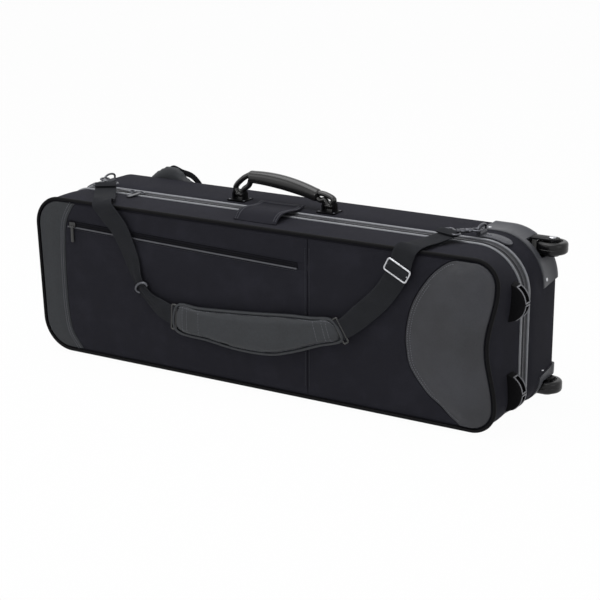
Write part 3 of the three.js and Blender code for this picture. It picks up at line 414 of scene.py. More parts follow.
class Value:
    """A number in a node tree, on which Python's operators add Math nodes.

    a.over(b) is 1 where a is the greater, else 0; a.larger(b) is the greater of the two; a.floor() is the
    whole part and a.wrap(span) the rest after whole spans.
    """

    def __init__(self, nodes: Nodes, socket: bpy.types.NodeSocket) -> None:
        """Keeps the tree and the output that carries the number."""
        self.nodes, self.socket = nodes, socket

    __add__ = __radd__ = _operator("ADD")
    __mul__ = __rmul__ = _operator("MULTIPLY")
    __sub__, __rsub__ = _operator("SUBTRACT"), _operator("SUBTRACT", swapped=True)
    __truediv__, __abs__ = _operator("DIVIDE"), _operator("ABSOLUTE")
    over, larger = _operator("GREATER_THAN"), _operator("MAXIMUM")
    floor, wrap, sine = _operator("FLOOR"), _operator("FLOORED_MODULO"), _operator("SINE")

    def wave(self, length: float) -> Value:
        """Size of a sine that is zero after each length."""
        return abs((self * (math.pi / length)).sine())

    def blend(self, low: Value, high: Value) -> Value:
        """Number between two, taken by this share."""
        return low + self * (high - low)

    def step(self, start: float, end: float) -> Value:
        """Soft step between two values of this number."""
        inputs = {0: self, 1: start, 2: end, 3: 0.0, 4: 1.0}
        made = self.nodes.node("ShaderNodeMapRange", {"interpolation_type": "SMOOTHSTEP"}, inputs)
        return Value(self.nodes, made.outputs[0])


class Nodes:
    """A node tree that is made node by node."""

    def __init__(self, tree: bpy.types.NodeTree) -> None:
        """Takes a tree and empties it."""
        self.tree = tree
        tree.nodes.clear()

    def node(
        self, kind: str, settings: Settings = None, inputs: dict[int | str, object] | None = None
    ) -> bpy.types.Node:
        """Adds a node.

        Args:
            kind: The node's type.
            settings: Its own settings, set first.
            inputs: Numbers, colours or sources by an input's name or number.

        Returns:
            The node.
        """
        made = self.tree.nodes.new(kind)
        for name, setting in (settings or {}).items():
            setattr(made, name, setting)
        for name, value in (inputs or {}).items():
            named = (s for s in made.inputs if s.name == name and s.enabled)
            socket = made.inputs[name] if isinstance(name, int) else next(named)
            source = value.socket if isinstance(value, Value) else value
            if isinstance(source, bpy.types.NodeSocket):
                self.tree.links.new(source, socket)
            else:
                socket.default_value = source
        return made

    def split(self, vector: bpy.types.NodeSocket) -> tuple[Value, ...]:
        """The three numbers of a vector."""
        return tuple(Value(self, s) for s in self.node("ShaderNodeSeparateXYZ", {}, {0: vector}).outputs)


class Shader(Nodes):
    """A material's node tree."""

    def __init__(self, name: str) -> None:
        """Makes the material and its surface shader."""
        self.material = bpy.data.materials.new(name)
        self.material.use_nodes = True
        super().__init__(self.material.node_tree)
        self.surface = self.node("ShaderNodeBsdfPrincipled")
        self.node("ShaderNodeOutputMaterial", {}, {0: self.surface.outputs[0]})

    def fix(self, **sockets: object) -> None:
        """Sets constants on the surface shader, with _ for a blank in a socket's name."""
        for name, value in sockets.items():
            self.surface.inputs[name.replace("_", " ")].default_value = value

    def link(self, name: str, source: Value | bpy.types.NodeSocket) -> None:
        """Feeds one of the surface shader's sockets."""
        self.tree.links.new(source.socket if isinstance(source, Value) else source, self.surface.inputs[name])

    def millimetres(self) -> bpy.types.NodeSocket:
        """Object place in millimetres."""
        where = self.node("ShaderNodeTexCoord").outputs["Object"]
        return self.node("ShaderNodeVectorMath", {"operation": "SCALE"}, {0: where, 3: 1000.0}).outputs[0]

    def axes(self) -> tuple[Value, Value]:
        """Two numbers in millimetres that run over whichever side the surface faces."""
        x, y, z = self.split(self.millimetres())
        nx, ny, nz = (abs(way) for way in self.split(self.node("ShaderNodeTexCoord").outputs["Normal"]))
        return nx.over(ny.larger(nz)).blend(x, y), nz.over(nx.larger(ny)).blend(z, y)

    def lays(self) -> tuple[Value, Value]:
        """Two numbers in millimetres across and along a strap, from its own attribute."""
        found = self.node("ShaderNodeAttribute", {"attribute_name": "lay"})
        return self.split(found.outputs["Vector"])[:2]

    def noise(self, size: float, detail: float = 3.0, rough: float = 0.55) -> Value:
        """Noise from 0 to 1 whose patches are about that many millimetres wide."""
        inputs = {"Vector": self.millimetres(), "Scale": 1.0 / size, "Detail": detail, "Roughness": rough}
        return Value(self, self.node("ShaderNodeTexNoise", {}, inputs).outputs[0])

    def cells(self, size: float, feature: str = "F1") -> Value:
        """Distance inside grains about that many millimetres wide."""
        inputs = {"Vector": self.millimetres(), "Scale": 1.0 / size}
        return Value(self, self.node("ShaderNodeTexVoronoi", {"feature": feature}, inputs).outputs[0])

    def tint(self, share: Value, low: Colour, high: Colour) -> None:
        """Colours the surface between two colours."""
        settings = {"data_type": "RGBA", "clamp_factor": True}
        self.link("Base Color", self.node("ShaderNodeMix", settings, {0: share, 6: low, 7: high}).outputs[2])

    def relief(self, height: Value, depth: float, strength: float) -> None:
        """Raises the surface by a height of 0 to 1 times a depth in millimetres."""
        inputs = {"Strength": strength, "Distance": depth * MM, "Height": height}
        self.link("Normal", self.node("ShaderNodeBump", {}, inputs).outputs[0])


# Finishes

Pattern = tuple[Value, Value, "Value | None"]


@dataclass(frozen=True)
class Finish:
    """A finish: its names here and in the record, its colour and gloss, its shades and its relief."""

    name: str
    slot: str
    colour: Colour
    roughness: float = 0.6
    specular: float = 0.3
    shades: Lay = (0.7, 1.3)
    depth: float = 0.1
    strength: float = 0.6

    def pattern(self, shader: Shader) -> Pattern:
        """Share between the shades, height of the relief, and the roughness where it varies."""
        raise NotImplementedError

    def material(self) -> bpy.types.Material:
        """The finish's material, made once.

        Returns:
            The material.
        """
        found = bpy.data.materials.get(self.name)
        if found is not None:
            return found
        shader = Shader(self.name)
        shader.fix(Base_Color=self.colour, Roughness=self.roughness, Specular_IOR_Level=self.specular)
        share, height, roughness = self.pattern(shader)
        shader.tint(share, *((*(part * by for part in self.colour[:3]), 1.0) for by in self.shades))
        if roughness is not None:
            shader.link("Roughness", roughness)
        shader.relief(height, self.depth, self.strength)
        return shader.material


@dataclass(frozen=True)
class WovenNylon(Finish):
    """Heavy woven nylon: crossed yarns, fine fuzz, and lighter rubbed patches."""

    shades: Lay = (0.5, 1.55)
    depth: float = 0.22
    strength: float = 0.7
    yarn: float = 1.5

    def pattern(self, shader: Shader) -> Pattern:
        """Crossed yarns over the side that the surface faces."""
        u, v = shader.axes()
        over = ((u / self.yarn).floor() + (v / self.yarn).floor()).wrap(2.0)
        height = over.blend(u.wave(self.yarn), v.wave(self.yarn))
        worn = shader.noise(46.0, 4.0).step(0.42, 0.78)
        fuzz = shader.noise(0.9, 2.0)
        bumps = height * 0.8 + shader.noise(14.0, 2.0) * 1.4 + fuzz * 0.3
        return height * 0.55 + fuzz * 0.25 + worn * 0.28, bumps, self.roughness - height * 0.08 + worn * 0.05


@dataclass(frozen=True)
class Leatherette(Finish):
    """Coated cloth with a pebbled grain, fine creases and a soft gloss."""

    shades: Lay = (0.62, 1.35)
    depth: float = 0.2
    strength: float = 0.65
    grain: float = 1.7
    crease: float = 0.3
    cloud: float = 38.0
    spread: float = 0.5

    def pattern(self, shader: Shader) -> Pattern:
        """The grain, and broad lighter and darker patches of tone and gloss; on the bell patch these patches
        are a painted sheen.
        """
        pebble = shader.cells(self.grain, "SMOOTH_F1")
        crease = shader.cells(self.grain * 4.2, "DISTANCE_TO_EDGE").step(0.0, 0.16)
        # Broad tone patches in the colour; with the bell patch's large cloud and narrow spread they are a
        # painted sheen gradient.
        cloud = shader.noise(self.cloud, 4.0).step(0.5 - self.spread, 0.5 + self.spread)
        height = (1 - pebble) * 0.7 + crease * self.crease
        gloss = self.roughness - height * 0.1 + cloud.step(0.3, 0.7) * 0.12
        return height * 0.4 + cloud * 0.6, height + shader.noise(9.0, 3.0) * 0.8, gloss


@dataclass(frozen=True)
class Webbing(Finish):
    """Flat woven strap: fine chevron ribs along it and firmer edges."""

    shades: Lay = (0.45, 1.6)
    depth: float = 0.35
    strength: float = 0.8
    half_width: float = 19.0
    rib: float = 2.2

    def pattern(self, shader: Shader) -> Pattern:
        """Chevron ribs by the strap's own measure."""
        across, along = shader.lays()
        zig = abs((across / self.rib).wrap(2.0) - 1.0)
        ribs = (along / 1.3 + zig * 0.9).wave(1.0)
        edge = abs(across).step(self.half_width * 0.86, self.half_width * 0.95)
        height = ribs * 0.55 + across.wave(self.rib) * 0.45
        return height * 0.55 + shader.noise(30.0, 3.0) * 0.35 + edge * 0.15, height + edge * 0.6, None


@dataclass(frozen=True)
class Plush(Finish):
    """Short pile with brushed lighter and darker patches."""

    shades: Lay = (0.5, 1.7)
    depth: float = 0.5
    strength: float = 0.9

    def pattern(self, shader: Shader) -> Pattern:
        """Fine pile and brushed patches."""
        pile, brushed = shader.noise(0.7, 2.0), shader.noise(24.0, 4.0)
        shader.fix(Sheen_Weight=0.35, Sheen_Roughness=0.4)
        return pile * 0.4 + brushed * 0.6, pile + brushed * 0.5, None


@dataclass(frozen=True)
class Foam(Finish):
    """Dense foam board with fine open cells."""

    shades: Lay = (1.3, 0.6)
    depth: float = 0.3

    def pattern(self, shader: Shader) -> Pattern:
        """Small cells."""
        cell = shader.cells(1.1)
        return cell * 0.7 + shader.noise(20.0, 2.0) * 0.3, cell, None


@dataclass(frozen=True)
class Vinyl(Finish):
    """Extruded vinyl cord with faint ridges and handling marks."""

    shades: Lay = (0.72, 1.22)
    depth: float = 0.12
    strength: float = 0.5

    def pattern(self, shader: Shader) -> Pattern:
        """Soft streaks and small dents."""
        streak, marks = shader.noise(7.0, 4.0), shader.noise(1.6, 2.0)
        return streak, marks * 0.4 + streak * 0.6, self.roughness + (marks - 0.5) * 0.3


@dataclass(frozen=True)
class ZipCloth(Finish):
    """Zip tape: a tight herringbone."""

    shades: Lay = (0.55, 1.5)
    depth: float = 0.15

    def pattern(self, shader: Shader) -> Pattern:
        """The herringbone over the side that the surface faces."""
        u, v = shader.axes()
        bones = ((u + abs(v.wrap(3.0) - 1.5) * 1.2) / 0.8).wave(1.0)
        return bones * 0.6 + shader.noise(20.0, 3.0) * 0.4, bones, None


@dataclass(frozen=True)
class Moulding(Finish):
    """Moulded plastic or rubber: a spark-eroded texture, scuffs, and a gloss of its own."""

    shades: Lay = (0.72, 1.28)
    depth: float = 0.08
    strength: float = 0.5
    texture: float = 0.8
    coat: float = 0.0

    def pattern(self, shader: Shader) -> Pattern:
        """The fine texture and the scuffs."""
        fine = shader.noise(self.texture, 3.0)
        scuff = shader.noise(26.0, 6.0, 0.7).step(0.55, 0.72)
        cloud = shader.noise(60.0, 2.0)
        shader.fix(Coat_Weight=self.coat, Coat_Roughness=0.12)
        gloss = self.roughness + (fine - 0.5) * 0.16 + scuff * 0.12
        return cloud * 0.55 + fine * 0.25 + scuff * 0.2, fine + cloud * 0.4, gloss


@dataclass(frozen=True)
class Nickel(Finish):
    """Plated metal with hair scratches and a little dulling."""

    shades: Lay = (1.0, 0.7)
    depth: float = 0.03
    strength: float = 0.4

    def pattern(self, shader: Shader) -> Pattern:
        """The scratches and the dull patches."""
        stretch = {"Vector": shader.millimetres(), "Scale": (0.6, 4.0, 4.0)}
        drawn = shader.node("ShaderNodeMapping", {}, stretch)
        hair = {"Vector": drawn.outputs[0], "Scale": 0.8, "Detail": 4.0}
        scratch = Value(shader, shader.node("ShaderNodeTexNoise", {}, hair).outputs[0])
        dull = shader.noise(6.0, 4.0).step(0.45, 0.75)
        shader.fix(Metallic=1.0)
        return dull, scratch, self.roughness + scratch * 0.12 + dull * 0.14


@dataclass(frozen=True)
class Thread(Finish):
    """Sewing thread with its twist."""

    def pattern(self, shader: Shader) -> Pattern:
        """The twist as short slanted bands."""
        inputs = {"Vector": shader.millimetres(), "Scale": 0.5}
        twist = shader.node("ShaderNodeTexWave", {"bands_direction": "DIAGONAL"}, inputs)
        band = Value(shader, twist.outputs[1])
        return band, band, None


NYLON = WovenNylon("woven_nylon", "nylon", linear(36, 36, 42), 0.9, 0.08)
LEATHERETTE = Leatherette("grey_leatherette", "leatherette", linear(46, 48, 51), 0.5, 0.22)
# Bell patch leatherette: its 120 mm cloud and narrow spread paint a broad sheen gradient into its colour.
PATCH_LEATHER = Leatherette(
    "patch_leatherette", "leatherette", linear(46, 47, 52), 0.42, 0.38,
    depth=0.1, grain=2.2, crease=0.0, cloud=120.0, spread=0.16,
)
TAB_LEATHER = Leatherette("tab_leatherette", "leatherette", linear(78, 79, 84), 0.5, 0.3, grain=1.3)
PAD_LEATHER = Leatherette("pad_leatherette", "leatherette", linear(50, 52, 55), 0.5, 0.25, grain=1.5)
STRAP_WEB = Webbing("strap_webbing", "webbing", linear(38, 39, 42), 0.85, 0.08)
BACK_WEB = Webbing("back_webbing", "webbing", linear(38, 39, 42), 0.85, 0.08, half_width=15.0)
FOAM_BOARD = Foam("foam_board", "foam_board", linear(46, 47, 52), 0.9, 0.1)
PLUSH = Plush("plush_lining", "plush", linear(38, 41, 50), 0.95, 0.05)
GREY_PIPING = Vinyl("grey_piping", "piping_grey", linear(134, 136, 141), 0.4, 0.45)
BLACK_PIPING = Vinyl("black_piping", "piping_black", linear(7, 7, 9), 0.62, 0.1)
ZIP_TAPE = ZipCloth("zip_tape", "zip_tape", linear(46, 47, 52), 0.85, 0.1)
ZIP_COIL = Moulding("zip_coil", "zip_tape", linear(72, 73, 79), 0.4, 0.4, texture=0.5)
# Pocket zip coil and tape: darker copies of the zip finishes. Their extra darkness is painted shade of the
# zip's recess, over their own dark colour.
POCKET_COIL_PAINTED_SHADE = Moulding("pocket_coil_painted_shade", "zip_tape", linear(24, 24, 28), 0.6, 0.12, texture=0.5)
POCKET_TAPE_PAINTED_SHADE = ZipCloth("pocket_tape_painted_shade", "zip_tape", linear(24, 24, 28), 0.9, 0.05)
GUARD_PLASTIC = Moulding("grey_moulding", "plastic", linear(72, 73, 78), 0.5, 0.25, depth=0.1, texture=1.1)
DARK_PLASTIC = Moulding("dark_moulding", "plastic", linear(14, 14, 16), 0.5, 0.15)
MOUNT_BLACK = Moulding("mount_black", "plastic", linear(6, 6, 8), 0.6, 0.04)
# Light grey of the skid's window frames: a painted highlight of the window edges.
WINDOW_EDGE_HIGHLIGHT = Moulding("window_edge_painted_highlight", "plastic", linear(128, 129, 134), 0.5, 0.4)
GLOSS_BLACK = Moulding(
    "gloss_black", "gloss_black", linear(6, 6, 8), 0.24, 0.12, depth=0.03, texture=0.6, coat=0.08
)
TYRE = Moulding("tyre_polymer", "rubber", linear(10, 10, 12), 0.28, 0.25, depth=0.04, texture=0.7, coat=0.1)
RUBBER = Moulding("black_rubber", "rubber", linear(13, 13, 15), 0.75, 0.08, depth=0.12, texture=0.9)
METAL = Nickel("nickel_plate", "metal", linear(190, 191, 195), 0.24, 0.5)
GUNMETAL = Nickel("dark_nickel", "metal", linear(92, 93, 98), 0.3, 0.5)
GREY_THREAD = Thread("grey_thread", "leatherette", linear(116, 117, 124), 0.7, 0.2)
DARK_THREAD = Thread("dark_thread", "nylon", linear(66, 67, 72), 0.7, 0.2)


# Surfaces and pieces


def spokes(axis: Vector, count: int) -> Ring:
    """Directions at equal steps round an axis."""
    first = axis.orthogonal().normalized()
    other = axis.cross(first)
    return [first * c + other * s for c, s in rounds(count)]


@dataclass
class Surface:
    """A closed surface in millimetres of the case frame, while it is being made."""

    points: list[Vector] = field(default_factory=list)
    faces: list[tuple[int, ...]] = field(default_factory=list)
    lays: list[Lay] = field(default_factory=list)

    def skin(
        self, rings: Sequence[Ring], closed: bool = False, lays: Sequence[Sequence[Lay]] = ()
    ) -> Surface:
        """Joins rings of equally many points.

        Args:
            rings: The rings in order.
            closed: Whether the last ring joins the first, where else both ends are capped.
            lays: Measures across and along for each point, for straps.

        Returns:
            The surface itself.
        """
        start, count = len(self.points), len(rings[0])
        for i, ring in enumerate(rings):
            self.points.extend(ring)
            self.lays.extend(lays[i] if lays else [(0.0, 0.0)] * count)
        for r in range(len(rings) if closed else len(rings) - 1):
            a, b = start + r * count, start + (r + 1) % len(rings) * count
            self.faces.extend((a + i, a + (i + 1) % count, b + (i + 1) % count, b + i) for i in range(count))
        if not closed:
            last = start + (len(rings) - 1) * count
            self.faces.append(tuple(range(start + count - 1, start - 1, -1)))
            self.faces.append(tuple(range(last, last + count)))
        return self

    def extrude(self, outline: Ring, low: float, high: float) -> Surface:
        """A plate between two depths."""
        return self.skin([moved(outline, y) for y in (low, high)])

    def add(self, other: Surface) -> Surface:
        """Takes another surface in."""
        shift = len(self.points)
        self.points.extend(other.points)
        self.lays.extend(other.lays)
        self.faces.extend(tuple(i + shift for i in face) for face in other.faces)
        return self

    def sweep(
        self, section: Sequence[Lay], stations: Sequence[Station], closed: bool = False,
        scales: Sequence[float] = (),
    ) -> Surface:
        """Moves a section along stations.

        Args:
            section: The section's points across u and v.
            stations: Where it goes.
            closed: Whether the way is closed.
            scales: Scale of the section at each station, where it changes.

        Returns:
            The surface itself.
        """
        sizes = scales or [1.0] * len(stations)
        rings = []
        for s, size in zip(stations, sizes):
            rings.append([s.at + s.u * (a * size) + s.v * (b * size) for a, b in section])
        return self.skin(rings, closed)

    def tube(
        self, points: Sequence[Vector], radius: float, closed: bool = False, sides: int = 12,
        normal: Vector = Y_WAY, squeeze: float = 1.0,
    ) -> Surface:
        """A round or flattened cord along a path.

        Args:
            points: The path.
            radius: Radius in the path's plane.
            closed: Whether the path is closed.
            sides: Sides of the section.
            normal: Direction kept across the path.
            squeeze: Share of the radius along the normal.

        Returns:
            The surface itself.
        """
        section = round_section(radius * squeeze, radius, sides)
        return self.sweep(section, stations_of(points, normal, closed), closed)

    def loop(
        self, middle: Vector, ways: tuple[Vector, Vector], halves: Lay, corner: float, radius: float,
        normal: Vector = Y_WAY, squeeze: float = 1.0,
    ) -> Surface:
        """A wire bent to a rounded rectangle.

        Args:
            middle: Its middle.
            ways: Its long and its short direction.
            halves: Half its length and half its width.
            corner: Radius of its corners.
            radius: The wire's radius.
            normal: Direction across its plane.
            squeeze: Share of the radius along the normal.

        Returns:
            The surface itself.
        """
        points = []
        for turn, (a, b) in enumerate(((1, 1), (-1, 1), (-1, -1), (1, -1))):
            for i in range(7):
                angle = math.pi / 2 * (turn + i / 6)
                x = a * (halves[0] - corner) + corner * math.cos(angle)
                y = b * (halves[1] - corner) + corner * math.sin(angle)
                points.append(middle + ways[0] * x + ways[1] * y)
        return self.tube(points, radius, True, 12, normal, squeeze)

    def lathe(self, profile: Sequence[Lay], at: Vector, axis: Vector, steps: int = 28) -> Surface:
        """Turns a closed profile of radius and height round an axis.

        Args:
            profile: Its points of radius and height.
            at: Where height 0 lies.
            axis: The axis it turns round.
            steps: Steps of the turn.

        Returns:
            The surface itself.
        """
        up = axis.normalized()
        rings = [[at + out * radius + up * height for radius, height in profile] for out in spokes(up, steps)]
        return self.skin(rings, closed=True)

    def block(self, low: Vector, high: Vector) -> Surface:
        """A box between two corners."""
        corners = ((low.x, low.z), (high.x, low.z), (high.x, high.z), (low.x, high.z))
        return self.extrude([vec(x, 0, z) for x, z in corners], low.y, high.y)

    def rod(self, start: Vector, end: Vector, radius: float, sides: int = 12, edge: float = 0.4) -> Surface:
        """A round bar with eased ends.

        Args:
            start: Middle of one end.
            end: Middle of the other end.
            radius: Its radius.
            sides: Sides of its section.
            edge: How far its ends are eased.

        Returns:
            The surface itself.
        """
        way = end - start
        length, e, up = way.length, min(edge, radius * 0.5), way.normalized()
        profile = [(radius - e, 0.0), (radius, e), (radius, length - e), (radius - e, length)]
        return self.skin([[start + up * h + out * r for out in spokes(up, sides)] for r, h in profile])

    def quilt(
        self, left: Path, right: Path, back: float, thick: float, crown: float,
        roll: float = 3.0, steps: tuple[int, int] = (64, 24), wave: float = 0.5,
    ) -> Surface:
        """A sewn panel on the lid's face between two edges.

        Args:
            left: One edge.
            right: The other edge, in the same sense.
            back: How far its back stands off the face.
            thick: Thickness near its edges.
            crown: How much more it swells in the middle.
            roll: Width over which its edge rounds.
            steps: Rows along and columns across.
            wave: Size of its soft unevenness.

        Returns:
            The surface itself.
        """
        rows, columns = steps
        a, b = left.spaced(rows + 1), right.spaced(rows + 1)
        height = max(left.length, right.length)
        full_swell, full_wave = 55, 14
        front: Ring = []
        for i in range(rows + 1):
            width = (b[i] - a[i]).length
            ends = min(i / rows, 1 - i / rows) * height
            for j in range(columns + 1):
                across = (1 - math.cos(math.pi * (j / columns))) / 2
                at = a[i].lerp(b[i], across)
                edge = min(across * width, (1 - across) * width)
                near = min(edge, ends)
                swell = smooth(edge / full_swell) * smooth(ends / full_swell)
                uneven = noise.noise(at * 0.035) + 0.4 * noise.noise(at * 0.11)
                ripple = wave * smooth(near / full_wave) * uneven
                y = -back - (0.25 + 0.75 * rounded(near / roll)) * thick - crown * swell - ripple
                front.append(vec(at.x, y, at.z))
        start = len(self.points)
        self.points.extend([*front, *(vec(p.x, -back, p.z) for p in front)])
        self.lays.extend([(0.0, 0.0)] * (2 * len(front)))
        count, shift = columns + 1, len(front)
        for i in range(rows):
            for j in range(columns):
                c = start + i * count + j
                self.faces.append((c, c + 1, c + count + 1, c + count))
                self.faces.append((c + shift, c + shift + count, c + shift + count + 1, c + shift + 1))
            for c in (start + i * count, start + i * count + columns):
                self.faces.append((c, c + count, c + count + shift, c + shift))
        for i in (0, rows):
            first = start + i * count
            self.faces.extend((c, c + 1, c + 1 + shift, c + shift) for c in range(first, first + columns))
        return self

    def mesh(self, name: str) -> bpy.types.Mesh:
        """The surface as a clean mesh in the row frame.

        Args:
            name: The mesh's name.

        Returns:
            The mesh.
        """
        made = bpy.data.meshes.new(name)
        made.from_pydata([to_row(p) for p in self.points], [], self.faces)
        lay = made.attributes.new("lay", "FLOAT_VECTOR", "POINT")
        lay.data.foreach_set("vector", [n for across, along in self.lays for n in (across, along, 0.0)])
        work = bmesh.new()
        work.from_mesh(made)
        bmesh.ops.remove_doubles(work, verts=work.verts, dist=2e-6)
        bmesh.ops.dissolve_degenerate(work, edges=work.edges, dist=1e-6)
        bmesh.ops.recalc_face_normals(work, faces=work.faces)
        work.to_mesh(made)
        work.free()
        return made

    def piece(self, name: str) -> bpy.types.Object:
        """The surface as an object in the scene."""
        return linked(name, self.mesh(name))


def linked(name: str, mesh: bpy.types.Mesh) -> bpy.types.Object:
    """A new object of a mesh in the scene."""
    made = bpy.data.objects.new(name, mesh)
    bpy.context.scene.collection.objects.link(made)
    return made


def settled(piece: bpy.types.Object) -> bpy.types.Object:
    """Turns a piece's modifiers into its mesh."""
    graph = bpy.context.evaluated_depsgraph_get()
    mesh = bpy.data.meshes.new_from_object(piece.evaluated_get(graph))
    piece.modifiers.clear()
    piece.data = mesh
    return piece


def coated(piece: bpy.types.Object, finish: Finish, angle: float) -> None:
    """Gives a piece its material, with edges sharper than an angle in degrees kept."""
    piece.data.materials.clear()
    piece.data.materials.append(finish.material())
    for face in piece.data.polygons:
        face.material_index = 0
    piece.data.shade_smooth()
    piece.data.set_sharp_from_angle(angle=math.radians(angle))


def finished(
    piece: bpy.types.Object, finish: Finish, body: str, *nodes: str, angle: float = 38.0, slot: str = ""
) -> bpy.types.Object:
    """Gives a piece its finish, its body and the nodes it replaces.

    Args:
        piece: The object.
        finish: Its finish.
        body: The body that it rides on.
        nodes: The CAD nodes that it stands for.
        angle: Edges sharper than this stay sharp.
        slot: The record's slot, where it isn't the finish's own; not used.

    Returns:
        The same object.
    """
    coated(piece, finish, angle)
    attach(piece, body)
    slot or finish.slot
    if nodes:
        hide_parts(*nodes)
    log.info("%s: %d faces on %s", piece.name, len(piece.data.polygons), body)
    return piece


def made(
    name: str, surface: Surface, finish: Finish, body: str, *nodes: str, angle: float = 38.0, slot: str = ""
) -> bpy.types.Object:
    """Makes a finished piece of a surface, with the arguments of finished."""
    return finished(surface.piece(name), finish, body, *nodes, angle=angle, slot=slot)


def ease(piece: bpy.types.Object, width: float) -> bpy.types.Object:
    """Bevels a piece's sharp edges by a width in millimetres."""
    bevel = piece.modifiers.new("eased", "BEVEL")
    bevel.width, bevel.segments = width * MM, 2
    bevel.limit_method, bevel.angle_limit = "ANGLE", math.radians(32)
    bevel.use_clamp_overlap = True
    return settled(piece)


def hollowed(piece: bpy.types.Object, tools: Iterable[Surface]) -> bpy.types.Object:
    """Cuts surfaces out of a piece.

    Args:
        piece: The piece.
        tools: What is cut out of it, one after the other.

    Returns:
        The same piece.
    """
    for tool in tools:
        cutter = tool.piece("cutter")
        cut = piece.modifiers.new("cut", "BOOLEAN")
        cut.operation, cut.solver, cut.object = "DIFFERENCE", "EXACT", cutter
        settled(piece)
        bpy.data.objects.remove(cutter)
    return piece


def refined(node: str, name: str, finish: Finish, bevel: float, slot: str = "") -> bpy.types.Object:
    """A finer copy of a rigid CAD node with welded corners and eased edges.

    Args:
        node: The CAD node.
        name: The new piece's name.
        finish: Its finish.
        bevel: Width of the eased edges in millimetres.
        slot: The record's slot, where it isn't the finish's own.

    Returns:
        The piece.
    """
    source = frame["nodes"][node]
    mesh = source.data.copy()
    work = bmesh.new()
    work.from_mesh(mesh)
    bmesh.ops.remove_doubles(work, verts=work.verts, dist=1e-5)
    bmesh.ops.dissolve_limit(work, angle_limit=math.radians(1), verts=work.verts, edges=work.edges)
    bmesh.ops.recalc_face_normals(work, faces=work.faces)
    work.to_mesh(mesh)
    work.free()
    return finished(ease(linked(name, mesh), bevel), finish, source["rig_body"], node, slot=slot)


# Small repeated shapes by Geometry Nodes


class Unit(Enum):
    """Shapes that are repeated along a path or set on points."""

    STITCH = "stitch"
    TOOTH = "tooth"
    RIVET = "rivet"


@dataclass(frozen=True)
class Repeat:
    """How a small shape is repeated: its kind, its size in millimetres and its pitch."""

    unit: Unit
    size: tuple[float, float, float]
    pitch: float = 4.0
    seed: int = 7

    def tree(self) -> bpy.types.GeometryNodeTree:
        """Node tree that lays the shape, made once for each kind.

        Returns:
            The tree, with named inputs.
        """
        name = f"repeat_{self.unit.value}"
        found = bpy.data.node_groups.get(name)
        if found is not None:
            return found
        tree = bpy.data.node_groups.new(name, "GeometryNodeTree")
        named = {"Path": "Geometry", "Pitch": "Float", "Size": "Vector", "Seed": "Int", "Finish": "Material"}
        for label, kind in named.items():
            tree.interface.new_socket(label, in_out="INPUT", socket_type=f"NodeSocket{kind}")
        tree.interface.new_socket("Pieces", in_out="OUTPUT", socket_type="NodeSocketGeometry")
        nodes = Nodes(tree)

        def add(kind: str, settings: Settings = None, **inputs: object) -> bpy.types.NodeSocket:
            """Adds a node and gives the first of its outputs that is in use."""
            return next(s for s in nodes.node(kind, settings, inputs).outputs if s.enabled)

        given = nodes.node("NodeGroupInput").outputs
        up = add("GeometryNodeInputNamedAttribute", {"data_type": "FLOAT_VECTOR"}, Name="up")
        align = "FunctionNodeAlignRotationToVector"
        if self.unit is Unit.RIVET:
            points = given["Path"]
            turned = add(align, {"axis": "Z"}, Vector=up)
            shape = add("GeometryNodeMeshUVSphere", Segments=14, Rings=8, Radius=0.5)
        else:
            line = add("GeometryNodeMeshToCurve", Mesh=given["Path"])
            points = add("GeometryNodeResampleCurve", {"mode": "LENGTH"}, Curve=line, Length=given["Pitch"])
            along = add(align, {"axis": "X"}, Vector=add("GeometryNodeInputTangent"))
            turned = add(align, {"axis": "Z", "pivot_axis": "X"}, Rotation=along, Vector=up)
            if self.unit is Unit.STITCH:
                shape = add("GeometryNodeMeshUVSphere", Segments=6, Rings=5, Radius=0.5)
            else:
                shape = add("GeometryNodeMeshCylinder", Vertices=8, Radius=0.5, Depth=1.0)
        number = {"data_type": "FLOAT"}
        jitter = add("FunctionNodeRandomValue", number, Min=0.94, Max=1.06, Seed=given["Seed"])
        sized = add("ShaderNodeVectorMath", {"operation": "SCALE"}, Vector=given["Size"], Scale=jitter)
        pose = {"Rotation": turned, "Scale": sized}
        laid = add("GeometryNodeInstanceOnPoints", Points=points, Instance=shape, **pose)
        real = add("GeometryNodeRealizeInstances", Geometry=laid)
        dressed = add("GeometryNodeSetMaterial", Geometry=real, Material=given["Finish"])
        nodes.node("NodeGroupOutput", {}, {0: dressed})
        return tree

    def lay(
        self, name: str, paths: Sequence[Track], finish: Finish, body: str, slot: str = ""
    ) -> bpy.types.Object:
        """Lays the shape along paths as one piece.

        Args:
            name: The piece's name.
            paths: Lists of a place and the direction that is up there.
            finish: The finish.
            body: The body that it rides on.
            slot: The record's slot, where it isn't the finish's own.

        Returns:
            The piece.
        """
        points: Ring = []
        edges: list[tuple[int, int]] = []
        for path in paths:
            start = len(points)
            points.extend(to_row(at) for at, _ in path)
            if self.unit is not Unit.RIVET:
                edges.extend((i, i + 1) for i in range(start, len(points) - 1))
        ups = [n for path in paths for _, way in path for n in way.normalized()]
        mesh = bpy.data.meshes.new(name)
        mesh.from_pydata(points, edges, [])
        mesh.attributes.new("up", "FLOAT_VECTOR", "POINT").data.foreach_set("vector", ups)
        piece = linked(name, mesh)
        modifier = piece.modifiers.new("laid", "NODES")
        modifier.node_group = self.tree()
        sockets = {s.name: s.identifier for s in modifier.node_group.interface.items_tree}
        modifier[sockets["Pitch"]] = self.pitch * MM
        modifier[sockets["Size"]] = [s * MM for s in self.size]
        modifier[sockets["Seed"]] = self.seed
        modifier[sockets["Finish"]] = finish.material()
        settled(piece)
        if "up" in piece.data.attributes:
            piece.data.attributes.remove(piece.data.attributes["up"])
        return finished(piece, finish, body, angle=60.0, slot=slot)


SEAM = Repeat(Unit.STITCH, (3.4, 0.8, 0.7), 4.4)
FINE_SEAM = Repeat(Unit.STITCH, (2.8, 1.0, 0.8), 4.0)


# Padding by cloth simulation


